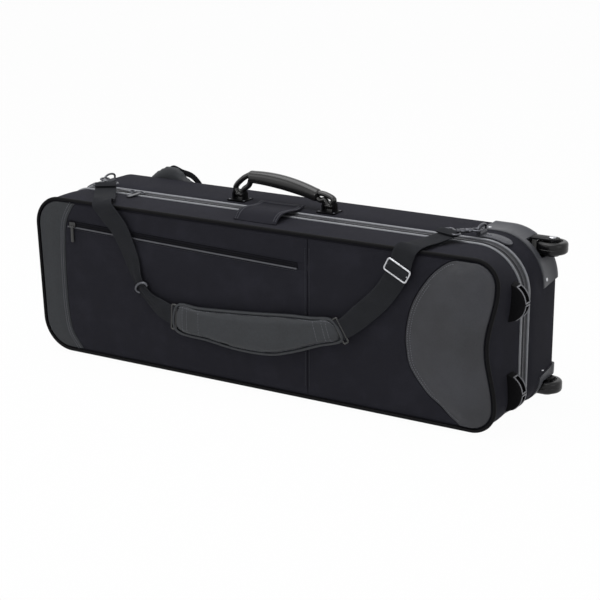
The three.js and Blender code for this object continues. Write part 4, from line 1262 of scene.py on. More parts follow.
@dataclass(frozen=True)
class Padding:
    """How a padded piece is blown up: voxel, pressure and the furthest that a point may move."""

    voxel: float
    cap: float
    pressure: float = 4.0
    frames: int = 20

    def swell(self, piece: bpy.types.Object) -> bpy.types.Object:
        """Remeshes a closed form, slightly smaller than it should end, and lets it swell as cloth.

        Args:
            piece: The form.

        Returns:
            The same piece, swollen.
        """
        remesh = piece.modifiers.new("even", "REMESH")
        remesh.mode, remesh.voxel_size = "VOXEL", self.voxel * MM
        settled(piece)
        start = [v.co.copy() for v in piece.data.vertices]
        cloth = piece.modifiers.new("cloth", "CLOTH")
        cloth.settings.quality = 5
        cloth.settings.use_pressure = True
        cloth.settings.uniform_pressure_force = self.pressure
        cloth.settings.effector_weights.gravity = 0.0
        cloth.point_cache.frame_start, cloth.point_cache.frame_end = 1, self.frames
        scene = bpy.context.scene
        for step in range(1, self.frames + 1):
            scene.frame_set(step)
        settled(piece)
        scene.frame_set(1)
        for v, rest in zip(piece.data.vertices, start):
            move = v.co - rest
            if move.length > self.cap * MM:
                v.co = rest + move * (self.cap * MM / move.length)
        fine = piece.modifiers.new("fine", "SUBSURF")
        fine.levels = fine.render_levels = 1
        return settled(piece)


# Body


@dataclass
class BodyCovers:
    """Woven covers of the lid and the base, their board shells and the plush inside."""

    face_profile: tuple[Lay, ...] = ((30, 0), (14, 0), (9, 0), (6, 0.35), (3, 1.2), (1.1, 2.7), (0, 5))
    lid_folds: tuple[Lay, ...] = ((2.5, 85.45), (2.5, 8), (5.5, 3.8), (11.5, 2.5))
    base_folds: tuple[Lay, ...] = ((2.5, 120.05), (2.5, 136), (2.5, 217), (5.5, 221.2), (11.5, 222.5))
    side_puff: float = 1.3
    ripple: float = 0.5
    plush: float = 1.5
    well_half: float = 14.5
    well_x: float = 417.2
    well_y: float = 179.8
    wheel_zs: Lay = (267.0, 30.0)

    def _puffed(self, ring: Ring, amount: float) -> Ring:
        """A ring pushed out a little, with soft unevenness of the cloth."""
        moved_ring = []
        for s in outward_stations(ring):
            uneven = self.ripple * (noise.noise(s.at * 0.02) + 0.5 * noise.noise(s.at * 0.06))
            moved_ring.append(s.at + s.u * (amount * (self.side_puff + uneven)))
        return moved_ring

    def wells(self, grow: float = 0.0) -> list[Surface]:
        """Spaces that the wheels stand in, grown by a wall, which run out of the case."""
        near, far = (self.well_x - grow, self.well_y - grow), (BODY.right + 40, BODY.depth + 40)
        spans = [(z - self.well_half - grow, z + self.well_half + grow) for z in self.wheel_zs]
        return [Surface().block(vec(*near, low), vec(*far, high)) for low, high in spans]

    def lid_cover(self) -> None:
        """Woven cover of the lid."""
        rings = [BODY.lid_outline(y, inset) for inset, y in self.face_profile]
        for y in (14, 26, 38, 50, 62, 72, 80):
            share = math.sin(math.pi * (y - BODY.edge_depth) / (BODY.lid_rim - BODY.edge_depth))
            rings.append(self._puffed(BODY.lid_outline(y, 0), share))
        rings.append(BODY.lid_outline(BODY.lid_rim, 0))
        rings.extend(BODY.lid_outline(y, inset) for inset, y in self.lid_folds)
        made("lid_woven_cover", Surface().skin(rings), NYLON, "lid", "lid_cover")

    def base_cover(self) -> None:
        """Woven cover of the base with the wheel wells cut out."""
        rings = [BODY.base_outline(BODY.depth - y, inset) for inset, y in self.face_profile]
        for y in (214, 200, 186, 172, 158, 146, 135, 127):
            rings.append(self._puffed(BODY.base_outline(y, 0), 0.6 * math.sin(math.pi * (y - 120) / 100)))
        rings.append(BODY.base_outline(BODY.base_rim, 0))
        rings.extend(BODY.base_outline(y, inset) for inset, y in self.base_folds)
        piece = hollowed(Surface().skin(rings).piece("base_woven_cover"), self.wells())
        finished(piece, NYLON, "base", "base_cover")

    def _dish(self, outline: Callable[[float, float], Ring], depths: Sequence[float]) -> Surface:
        """Dish of plush from its rim to its floor and back inside, with a soft unevenness.

        Args:
            outline: Gives the outline of its half at a depth and an inset.
            depths: Depths from the rim to the floor.

        Returns:
            The dish.
        """
        skin, thin, floor = BODY.lining_skin, self.plush, depths[-1]
        way = 1 if floor > depths[0] else -1
        sink, bend = 4.2, 3
        outer = [outline(y, skin) for y in depths]
        outer += [outline(floor + way * bend, skin + 1.5), outline(floor + way * sink, skin + 4.5)]
        inner = [outline(floor + way * (sink - thin), skin + 4.5 + thin)]
        inner.append(outline(floor + way * (bend - thin), skin + 2 + thin))
        for y in reversed(depths):
            ring = outline(y, skin + thin)
            stations = outward_stations(ring)
            inner.append([s.at - s.u * abs(0.5 * noise.noise(s.at * 0.05)) for s in stations])
        return Surface().skin([*reversed(outer), *reversed(inner)])

    def linings(self) -> None:
        """Plush inside both halves."""
        lid = self._dish(BODY.lid_outline, [102.45, 96, 80, 64, 48, 32, 20.4])
        made("lid_plush_lining", lid, PLUSH, "lid", "lid_lining")
        base = self._dish(BODY.base_outline, [103.05, 110, 128, 146, 164, 182, 200, 204.6])
        wall = 9.3
        finished(hollowed(base.piece("base_plush_lining"), self.wells(wall)), PLUSH, "base", "base_lining")

    def build(self) -> None:
        """Makes the covers and linings and dresses the board shells."""
        self.lid_cover()
        self.base_cover()
        self.linings()
        for node in ("lid_shell", "base_shell"):
            shell = frame["nodes"][node]
            shell.data.materials.clear()
            shell.data.materials.append(FOAM_BOARD.material())


@dataclass
class ZipBand:
    """Pipings, tapes, teeth and the fabric hinge between the lid and the base."""

    bead: float = 2.5
    front_bead: float = 3.0
    teeth: Repeat = Repeat(Unit.TOOTH, (1.15, 3.4, 1.3), 2.5)
    tape_reach: float = 11.7
    tape_gap: float = 0.3
    strip_z: Lay = (7.6, 9.4)

    def piping(self, name: str, outline: Ring, radius: float, finish: Finish, body: str, node: str) -> None:
        """One piping round the case."""
        surface = Surface().sweep(round_section(radius, radius, 12), outward_stations(outline), closed=True)
        made(name, surface, finish, body, node, angle=60)

    def half_tape(self, body: str, low: float, high: float) -> None:
        """One half of the zip tape with a raised line beside the teeth.

        Args:
            body: The body it is sewn to.
            low: Its lower Y.
            high: Its higher Y.
        """
        near, way = (high, -1) if high < BODY.split else (low, 1)
        flat, raised = 1.45, 1.8
        line = zip(sorted(near + way * step for step in (4.4, 5.2, 6.6, 7.4)), (flat, raised, raised, flat))
        section = [(0.0, low), (flat, low), *((out, y) for y, out in line), (flat, high), (0.0, high)]
        stations = outward_stations(BODY.rim_outline(BODY.cover))
        surface = Surface().sweep(section, stations, closed=True)
        made(f"{body}_woven_tape", surface, ZIP_TAPE, body, f"{body}_zip_tape", angle=25)

    def half_teeth(self, body: str, y: float, start: float) -> None:
        """Teeth of one half from the lower left corner over the top to the lower right corner.

        Args:
            body: The body they are on.
            y: Y of the row.
            start: Way to the first tooth.
        """
        ring, step = BODY.rim_outline(0.3), 6.0
        third = BODY.corner_steps // 3
        path = Path(ring[third : len(ring) - BODY.edge_steps - third])
        track = []
        for i in range(int(path.length / step)):
            at, along = path.at(start + i * step), path.along(start + i * step)
            track.append((vec(at.x, y, at.z), outwards(along)))
        self.teeth.lay(f"{body}_zip_teeth", [track], ZIP_COIL, body)

    def hinge(self) -> None:
        """Fabric strip that sags a little between base and lid under the band."""
        ends = (-BODY.right + BODY.left_lean + BODY.bottom_left, BODY.right - BODY.bottom_right)
        (x_low, x_high), (z_low, z_high), steps = ends, self.strip_z, 48
        rings = []
        for i in range(steps + 1):
            y = mix(BODY.split - self.tape_reach, BODY.split + self.tape_reach, i / steps)
            dip = 0.35 * math.sin(math.pi * i / steps)
            corners = ((x_low, z_low), (x_high, z_low), (x_high, z_high), (x_low, z_high))
            rings.append([vec(x, y, z - dip) for x, z in corners])
        piece = Surface().skin(rings).piece("woven_hinge")
        coated(piece, NYLON, 38)
        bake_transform(piece)
        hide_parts("hinge_strip")

    def build(self) -> None:
        """Makes the band."""
        for body, way in (("lid", -1), ("base", 1)):
            outline = moved(BODY.rim_outline(0), BODY.split + way * BODY.band_half)
            self.piping(f"{body}_grey_piping", outline, self.bead, GREY_PIPING, body, f"{body}_zip_piping")
        front = moved(BODY.face_outline(0), -0.4)
        self.piping("lid_black_piping", front, self.front_bead, BLACK_PIPING, "lid", "lid_front_piping")
        self.half_tape("lid", BODY.split - self.tape_reach, BODY.split - self.tape_gap)
        self.half_tape("base", BODY.split + self.tape_gap, BODY.split + self.tape_reach)
        self.half_teeth("lid", BODY.split - 0.7, 0.0)
        self.half_teeth("base", BODY.split + 0.7, self.teeth.pitch / 2)
        self.hinge()


@dataclass
class LidFace:
    """Panels sewn on the lid's face: end crescent, bell patch, pocket and plain panels, with their seams."""

    margin: float = 5.0
    crescent: tuple[Lay, ...] = (
        (-352, 300), (-358.5, 291), (-374, 272), (-386.5, 247), (-390.5, 214),
        (-391.5, 139), (-388.5, 83), (-381.5, 46), (-362.5, 19), (-350, 0),
    )
    patch: tuple[Lay, ...] = (
        (400, 300), (388.5, 286), (369.5, 279), (352.5, 267), (335.5, 250), (318.5, 226),
        (305.5, 200), (298.5, 174), (295.5, 148), (297.5, 124), (303.5, 99), (318.5, 77),
        (339.5, 55), (359.5, 42), (375.5, 28), (393.5, 15), (400, 0),
    )
    seam_x: float = 114.0
    seam_gap: float = 0.4
    edge_gap: float = 0.8
    zip_ends: tuple[Lay, Lay] = ((-382.8, 245.0), (94.1, 233.9))
    zip_half: float = 5.5
    back: float = 0.3

    def __post_init__(self) -> None:
        """Works out the edges that the panels share."""
        self.face = BODY.face_outline(self.margin)
        self.crescent_edge, self.patch_edge = self._trimmed(self.crescent), self._trimmed(self.patch)

    def _inside(self, p: Vector) -> bool:
        """Whether a place lies inside the face's sewn outline."""
        hit = False
        for a, b in zip(self.face, [*self.face[1:], self.face[0]]):
            if (a.z > p.z) != (b.z > p.z) and p.x < (b.x - a.x) * (p.z - a.z) / (b.z - a.z) + a.x:
                hit = not hit
        return hit

    def _trimmed(self, points: Sequence[Lay]) -> Path:
        """Smooth edge through points, kept where it runs inside the outline."""
        return Path([p for p in curve([vec(x, 0, z) for x, z in points], 400) if self._inside(p)])

    def _outer(self, edge: Path, step: int) -> Path:
        """Part of the face's outline between the ends of an edge, walked one way.

        Args:
            edge: The edge.
            step: 1 to walk anticlockwise, -1 to walk clockwise.

        Returns:
            That part of the outline.
        """
        start, end = edge.points[0], edge.points[-1]
        i, last = (min(range(len(self.face)), key=lambda k: (self.face[k] - p).length) for p in (start, end))
        points = [start]
        while i != last:
            points.append(self.face[i])
            i = (i + step) % len(self.face)
        return Path([*points[:1], *points[2:], end])

    def zip_z(self, x: float) -> float:
        """Height of the pocket zip's middle at a place along the case."""
        (x0, z0), (x1, z1) = self.zip_ends
        return mix(z0, z1, (x - x0) / (x1 - x0))

    def _edge_from(self, edge: Path, low_z: float, high_z: float, shift: float) -> Path:
        """Piece of an edge between two heights, moved along X, from high to low."""
        kept = [p + vec(shift, 0, 0) for p in edge.points if low_z <= p.z <= high_z]
        return Path(kept if kept[0].z > kept[-1].z else kept[::-1])

    def _straight(self, x: float, high_z: float, low_z: float) -> Path:
        """Upright edge from high to low."""
        return Path([vec(x, 0, high_z), vec(x, 0, low_z)])

    def panels(self) -> None:
        """Leatherette on the narrow end and the bell end, the pocket below its zip, and the plain cloth."""
        floor, top, under = BODY.low + self.margin + 0.6, BODY.high - self.margin - 0.6, self.zip_half + 0.3
        beside, after = self.seam_x - self.seam_gap, self.seam_x + self.seam_gap
        zip_left, zip_right = self.zip_z(-390), self.zip_z(self.seam_x)
        crescent, patch = self.crescent_edge, self.patch_edge

        def sew(name: str, left: Path, right: Path, finish: Finish, *nodes: str, **form: object) -> None:
            """Makes one panel between two edges."""
            made(name, Surface().quilt(left, right, self.back, **form), finish, "lid", *nodes, angle=50)

        sew("end_crescent", self._outer(crescent, 1), crescent, LEATHERETTE, "left_crescent",
            thick=2.2, crown=1.2, roll=3.5, steps=(90, 20))
        sew("bell_round_patch", patch, self._outer(patch, -1), PATCH_LEATHER, "bell_patch",
            thick=3.5, crown=5.2, roll=4.5, steps=(110, 36), wave=0.6)
        sew("zip_pocket", self._edge_from(crescent, floor, zip_left - under, self.edge_gap),
            self._straight(beside, zip_right - under, floor), NYLON, "pocket_panel",
            thick=2.2, crown=2.4, steps=(54, 84), wave=0.9)
        sew("upper_cloth", self._edge_from(crescent, zip_left + under, top, self.edge_gap),
            self._straight(beside, top, zip_right + under), NYLON,
            thick=1.7, crown=0.5, roll=2.5, steps=(14, 84))
        sew("bell_side_cloth", self._straight(after, top, floor),
            self._edge_from(patch, floor, top, -self.edge_gap), NYLON,
            thick=1.9, crown=1.4, steps=(64, 40), wave=0.7)

    def pocket_zip(self) -> None:
        """Tape, welt and coil of the pocket zip; the tape and coil are darkened, which paints the shade of
        the zip's recess.
        """
        start, end = (vec(x, 0, z) for x, z in self.zip_ends)
        half = self.zip_half
        way = (end - start).normalized()
        up = vec(-way.z, 0, way.x)
        inner_spots = (start + way * 2.5, start.lerp(end, 0.5), end + way * -2.5)
        spots = ((start, 0.7), *((at, 1) for at in inner_spots), (end, 0.7))
        rings = []
        for at, share in spots:
            wide = half * share
            left = [(-wide, -0.3), (-wide, -1.2), (-wide + 0.6, -1.8), (-2.4, -1.8), (-2.0, -1.2)]
            section = [*left, *((-a, b) for a, b in reversed(left))]
            rings.append([at + up * a + vec(0, b, 0) for a, b in section])
        # Darkened tape and coil: painted shade of the zip's recess.
        made("pocket_woven_tape", Surface().skin(rings), POCKET_TAPE_PAINTED_SHADE, "lid", "pocket_zip_tape", angle=25)
        track = [(start.lerp(end, i / 60) + vec(0, -1.5, 0), FACE_WAY) for i in range(1, 60)]
        Repeat(Unit.TOOTH, (1.0, 3.2, 1.1), 2.0).lay("pocket_zip_coil", [track], POCKET_COIL_PAINTED_SHADE, "lid")
        welt = [start.lerp(end, i / 40) + up * (-half + 0.4) + vec(0, -2.1, 0) for i in range(41)]
        cord = Surface().tube(welt, 1.5, sides=8)
        made("pocket_welt", cord, TAB_LEATHER, "lid", angle=60, slot="piping_grey")

    def seams(self) -> None:
        """Double stitching beside the sewn edges, the upright seam, and one row under the pocket zip."""

        def beside(edge: Path, count: int, offset: float, y: float) -> Track:
            """Stitch path beside an edge, without its ends."""
            points = edge.spaced(count)
            row = []
            for i, p in enumerate(points[2:-2], 2):
                at = p + outwards((points[i + 1] - points[i - 1]).normalized()) * offset
                row.append((vec(at.x, y, at.z), FACE_WAY))
            return row

        grey: list[Track] = []
        dark: list[Track] = []
        for offset in (4.5, 9.0):
            grey.append(beside(self.crescent_edge, 90, offset, -2.75))
            grey.append(beside(self.patch_edge, 110, -offset, -4.1 - 0.02 * offset))
        upright = self._straight(self.seam_x, BODY.high - 14, BODY.low + 14)
        dark += [beside(upright, 60, -4.0, -3.1), beside(upright, 60, 4.0, -2.85)]
        (x0, _), (x1, _) = self.zip_ends
        xs = [mix(x0 + 6, x1 - 2, i / 80) for i in range(81)]
        dark.append([(vec(x, -2.75, self.zip_z(x) - 8.6), FACE_WAY) for x in xs])
        FINE_SEAM.lay("panel_stitching", grey, GREY_THREAD, "lid")
        FINE_SEAM.lay("cloth_stitching", dark, DARK_THREAD, "lid")

    def build(self) -> None:
        """Makes the face."""
        self.panels()
        self.pocket_zip()
        self.seams()


@dataclass
class ZipFlap:
    """Hemmed flap that bulges from the lid over the zip under the handle, with its free end curled up."""

    left: float = -47.0
    right: float = 37.0
    lean_left: float = 25.0
    lean_right: float = 19.0
    thick: float = 1.7
    curl: float = 1.2
    way: tuple[Lay, ...] = (
        (25, 288.9), (33, 294.2), (43, 298.5), (58, 300.4), (78, 298.8), (98, 295.6), (116, 292.9),
        (132, 291.8), (150, 292.3),
    )
    rows: int = 66
    columns: int = 44

    def __post_init__(self) -> None:
        """Lays the flap's way over the zip."""
        self.path, self.width = Path(curve([vec(0, y, z) for y, z in self.way], 120)), self.right - self.left

    def _place(self, along: float, across: float) -> Vector:
        """Place on the flap's underside from its shares along and across.

        Args:
            along: Share of its length.
            across: Share of its width.

        Returns:
            The place.
        """
        at = self.path.at(along * self.path.length)
        share = (at.y - self.way[0][0]) / (self.way[-1][0] - self.way[0][0])
        curl = smooth((along - 0.8) / 0.2) * self.curl * (abs(across - 0.45) * 2) ** 2
        sag = 0.5 * noise.noise(vec(across * 3.1, along * 4.3, 2.0)) * smooth(along * 4)
        x = mix(self.left - self.lean_left * share, self.right - self.lean_right * share, across)
        return vec(x, at.y, at.z + curl + sag)

    def build(self) -> None:
        """Makes the flap and its double stitching."""
        length, width = self.path.length, self.width
        rings = []
        for i in range(self.rows + 1):
            along = i / self.rows
            under, over = [], []
            for j in range(self.columns + 1):
                across = j / self.columns
                near = min(min(across, 1 - across) * width, (1 - along) * length)
                hem = 0.7 if near < 0.8 else 1.0 if near < 8.5 else 0.62
                under.append(self._place(along, across))
                over.append(under[-1] + vec(0, 0, self.thick * hem))
            rings.append([*under, *reversed(over)])
        flap = made("hemmed_flap", Surface().skin(rings), NYLON, "lid", "zip_flap", angle=50)
        tracks = []
        for inset in (3.0, 7.4):
            side, end = inset / width, 1 - inset / length
            corners = [(0.02, side), (end, side), (end, 1 - side), (0.02, 1 - side)]
            shares = [(mix(a0, a1, k / 30), mix(c0, c1, k / 30))
                      for (a0, c0), (a1, c1) in zip(corners, corners[1:]) for k in range(30)]
            tracks.append([(self._place(a, c) + vec(0, 0, self.thick + 0.1), Z_WAY) for a, c in shares])
        FINE_SEAM.lay("flap_stitching", tracks, GREY_THREAD, "lid", "nylon")


# Wheel end and feet


@dataclass
class WheelSet:
    """One inset wheel: tyre, hub, fork and axle."""

    place: str
    z: float
    outwards: int
    y: float = 207.0
    radius: float = 26.0
    half: float = 10.0
    hub: float = 17.0
    fork_half: float = 14.2
    head: tuple[Lay, ...] = (
        (0.0, 0.0), (6.0, 0.0), (6.0, 1.0), (5.2, 2.0), (3.4, 2.5), (2.6, 2.5), (2.2, 1.7), (0.0, 1.5),
    )

    def build(self) -> None:
        """Makes the wheel's pieces."""
        at, body = vec(BODY.right, self.y, self.z), f"wheel_{self.place}"
        r, h, rim = self.radius, self.half, self.half - 1
        tyre = [(self.hub + 0.3, -h), (r - 5, -h), (r - 2.6, -h + 0.7), (r - 0.9, -h + 2.2)]
        tyre += [(r - 0.1, -h + 4.6), (r, -1.2), (r - 0.7, -0.6)]
        surface = Surface().lathe(mirrored(tyre), at, Z_WAY, 56)
        made(f"{body}_rolling_tyre", surface, TYRE, body, f"wheel_tyre_{self.place}", angle=50)
        hub = [(4.3, -rim), (6.8, -rim), (7.6, -rim + 2), (13.4, -rim + 2), (14.4, -rim), (self.hub, -rim)]
        surface = Surface().lathe(mirrored(hub), at, Z_WAY, 48)
        for c, s in rounds(6):
            for side in (-1, 1):
                mid = at + Z_WAY * (side * (rim - 1.6))
                surface.rod(mid + vec(c, s, 0) * 7.2, mid + vec(c, s, 0) * 13.8, 1.1, 8, 0.2)
        made(f"{body}_spoked_hub", surface, DARK_PLASTIC, body, f"wheel_hub_{self.place}")
        refined(f"wheel_fork_{self.place}", f"moulded_fork_{self.place}", DARK_PLASTIC, 0.7)
        way = Z_WAY * self.outwards
        head = at + way * (self.fork_half + 0.3)
        axle = Surface().rod(at - way * self.fork_half, head + way * 0.2, 4.0, 24).lathe(self.head, head, way)
        made(f"turned_axle_{self.place}", axle, METAL, "base", f"wheel_axle_{self.place}")


@dataclass
class CornerGuard:
    """Moulded guard bent round a wheel corner and over the back edge, with its rivets."""

    place: str
    points: Ring
    slants: Lay
    rivets: tuple[Lay, ...]
    front: float = 166.0
    slant_depth: float = 62.0
    slant_run: float = 26.0
    section: tuple[Lay, ...] = (
        (0, 166), (2.0, 166), (2.8, 166.7), (3, 168.2), (3, 172), (2.6, 173), (2.6, 214), (3, 215),
        (3, 221.5), (2.5, 224.6), (1.2, 227), (-1.2, 228.2), (-4, 228.3), (-23, 228.3), (-24, 227.6),
        (-24, 225.3), (-9, 225.3), (-6, 225.0), (-3, 224.1), (-1.1, 222.4), (0, 220.3),
    )

    def build(self) -> None:
        """Makes the guard and its rivets."""
        path = Path(self.points)
        count = int(path.length / 2.5) + 1
        rings = []
        for i in range(count):
            base = path.length * i / (count - 1)
            ring = []
            for out, y in self.section:
                share = clamp((y - self.front) / self.slant_depth)
                reach = base
                reach += self.slants[0] * share * smooth(1 - base / self.slant_run)
                reach -= self.slants[1] * (1 - share) * smooth(1 - (path.length - base) / self.slant_run)
                along = path.along(clamp(reach, 1, path.length - 1))
                ring.append(path.at(reach) + outwards(along) * out + vec(0, y, 0))
            rings.append(ring)
        piece = hollowed(Surface().skin(rings).piece(f"moulded_guard_{self.place}"), BodyCovers().wells())
        finished(piece, GUARD_PLASTIC, "base", f"corner_guard_{self.place}", angle=30)
        spots = [(path.at(reach), outwards(path.along(reach)), y) for reach, y in self.rivets]
        track = [(at + out * 2.7 + vec(0, y, 0), out) for at, out, y in spots]
        Repeat(Unit.RIVET, (6.4, 6.4, 2.6)).lay(f"guard_rivets_{self.place}", [track], METAL, "base")


@dataclass
class EndSkid:
    """Moulded skid on the lid's wheel end with two framed windows in its rim; the frames' light grey is a
    painted highlight of the window edges.
    """

    place: str
    z: float
    radius: float = 31.0
    beyond: float = 24.0
    root: float = 16.0
    y_low: float = 46.0
    y_high: float = 69.0
    frame: float = 4.0
    pocket: float = 5.0
    first: float = 3.7
    last: float = 60.0
    wire: float = 1.3

    def _on_rim(self, angle: float, beyond: float, y: float) -> Vector:
        """Place on the rounded side, or beyond it."""
        turn, radius = math.radians(angle), self.radius + beyond
        return self.centre + vec(radius * math.cos(turn), y, radius * math.sin(turn))

    def build(self) -> None:
        """Makes the skid and its window frames, whose light grey paints the highlights of the window edges.
        """
        self.centre = vec(BODY.right + self.beyond - self.radius, 0, self.z)
        root = BODY.right - self.root
        outline = [vec(root, 0, self.z - self.radius)]
        outline += [self._on_rim(-90 + 180 * i / 48, 0, 0) for i in range(49)]
        outline.append(vec(root, 0, self.z + self.radius))
        piece = Surface().extrude(outline, self.y_low, self.y_high).piece(f"moulded_skid_{self.place}")
        ease(piece, 1.3)
        tools, frames = [], Surface()
        low, high, lift = self.y_low + self.frame, self.y_high - self.frame, 0.1
        for side in (-1, 1):
            angles = [side * mix(self.first, self.last, i / 16) for i in range(17)]
            pane = [self._on_rim(a, 4, 0) for a in angles]
            pane += [self._on_rim(a, -self.pocket, 0) for a in reversed(angles)]
            tools.append(Surface().extrude(pane, low, high))
            edge = [self._on_rim(a, lift, low) for a in angles]
            edge += [self._on_rim(angles[-1], lift, mix(low, high, i / 4)) for i in range(1, 4)]
            edge += [self._on_rim(a, lift, high) for a in reversed(angles)]
            edge += [self._on_rim(angles[0], lift, mix(high, low, i / 4)) for i in range(1, 4)]
            stations = []
            for i, at in enumerate(edge):
                out = (vec(at.x, 0, at.z) - self.centre).normalized()
                along = (edge[(i + 1) % len(edge)] - edge[i - 1]).normalized()
                stations.append(Station(at, out, along.cross(out).normalized()))
            frames.sweep(round_section(self.wire * 0.7, self.wire, 8), stations, closed=True)
        finished(hollowed(piece, tools), RUBBER, "lid", f"end_skid_{self.place}", angle=30)
        # Light grey frames: painted highlight of the window edges.
        made(f"skid_window_highlight_frames_{self.place}", frames, WINDOW_EDGE_HIGHLIGHT, "lid", angle=60)


@dataclass
class Feet:
    """Rubber feet under the narrow side."""

    from_end: float = 120.0
    from_face: float = 30.0
    sole: tuple[Lay, ...] = ((2.8, 1.6), (4.0, 0.2), (10.4, 0.0), (11.5, 0.5), (12.1, 1.6))

    def build(self) -> None:
        """Makes the four feet."""
        for side, x in (("left", -BODY.right + self.from_end), ("right", BODY.right - self.from_end)):
            for half, y, top in (("base", BODY.depth - self.from_face, 6.2), ("lid", self.from_face, 8.7)):
                wall = [(13.4, top - 1.2), (14.0, top - 0.4), (14.0, top), (0.0, top), (0.0, 1.6)]
                foot = Surface().lathe([*self.sole, *wall], vec(x, y, 0), Z_WAY, 32)
                made(f"rubber_foot_{half}_{side}", foot, RUBBER, half, f"{half}_foot_{side}")


# Handle


@dataclass
class CarryHandle:
    """Padded carrying grip on looped strands between two pinned mounts."""

    pivot: tuple[float, float, float] = (-21.0, 145.0, 301.5)
    half_span: float = 91.0
    grip_height: float = 24.5
    grip_half: float = 69.0
    arch: float = 6.0
    cant: float = 9.0
    ear_gap: float = 17.0
    strand: Lay = (5.6, 4.8)
    screws: Lay = (14.5, 10.5)
    end_shares: tuple[float, ...] = (0, 0.004, 0.012, 0.025, 0.06)
    end_sizes: tuple[float, ...] = (0.78, 0.93, 1.0, 1.03, 1.0)

    def _at(self, x: float, y: float, z: float) -> Vector:
        """Case place of a place seen from the pivot."""
        return vec(*self.pivot) + vec(x, y, z)

    def _centre(self, share: float) -> Vector:
        """Middle of the grip at a share of its length."""
        across = mix(-1, 1, share)
        height = self.grip_height + self.arch * (1 - across**2) - self.cant * across
        return self._at(across * self.grip_half, 0, height)

    def grip(self) -> None:
        """Grip with flat sides, a round belly and a ridge along its top."""
        rings = []
        shares = [*self.end_shares, *[0.1 + 0.05 * i for i in range(17)], 0.94, 0.975, 0.988, 0.996, 1]
        sizes = [*self.end_sizes, *[1.0] * 17, *reversed(self.end_sizes)]
        for share, size in zip(shares, sizes):
            at = self._centre(share)
            along = (self._centre(share + 0.01) - self._centre(share - 0.01)).normalized()
            up, bulge = along.cross(FACE_WAY).normalized(), math.sin(math.pi * share)
            half_y, half_z = mix(9.4, 10.6, bulge) * size, mix(10.4, 12.2, bulge) * size
            ring = []
            for c, s in rounds(40):
                reach = full_reach(c, s, 3.6 if s > 0 else 2.3)
                ridge = math.exp(-((math.degrees(math.atan2(s, c)) - 90) ** 2) / 60) * size
                ring.append(at + Y_WAY * (half_y * c * reach) + up * (half_z * s * reach + ridge))
            rings.append(ring)
        made("moulded_grip", Surface().skin(rings), GLOSS_BLACK, "handle", "handle_grip", angle=60)

    def loop(self, side: str, way: int) -> None:
        """Two strands and the eye that turns on the mount's pin.

        Args:
            side: left or right.
            way: -1 on the left, 1 on the right.
        """
        foot_x, half = way * self.half_span, self.ear_gap / 2 - 0.3
        eye = mirrored([(2.8, -half), (4.9, -half), (5.5, -half + 0.6)])
        surface = Surface().lathe(eye, self._at(foot_x, 0, 0), X_WAY)
        end = self._centre(0.01 if way < 0 else 0.99)
        for outer, bow_x, bow_z in ((-1, -8.5, 9.5), (1, 8.5, 11.5)):
            base = self._at(foot_x + way * outer * 4.1, 0, 2.0)
            tip = end + vec(0, 0, outer * 4.6)
            bow = self._at(foot_x + way * bow_x, 0, bow_z)
            high = bow.lerp(tip, 0.55) + vec(way * 2.2 * outer, 0, 2.4 * outer)
            stations = stations_of(curve([base, bow, high, tip], 20), Y_WAY)
            surface.sweep(round_section(*self.strand, 14), stations)
        made(f"looped_strands_{side}", surface, GLOSS_BLACK, "handle", f"handle_loop_{side}", angle=60)

    def mount(self, side: str, way: int) -> None:
        """Moulded mount with its screws."""
        refined(f"handle_mount_{side}", f"moulded_mount_{side}", MOUNT_BLACK, 0.8)
        x, top = self.pivot[0] + way * self.half_span, BODY.top + 2.3
        y, (half_x, half_y) = self.pivot[1], self.screws
        spots = [(vec(x + a * half_x, y + b * half_y, top), Z_WAY) for a in (-1, 1) for b in (-1, 1)]
        Repeat(Unit.RIVET, (4.6, 4.6, 1.8)).lay(f"mount_screws_{side}", [spots], GUNMETAL, "base")

    def build(self) -> None:
        """Makes the handle."""
        self.grip()
        for side, way in (("left", -1), ("right", 1)):
            self.loop(side, way)
            self.mount(side, way)


# Shoulder strap


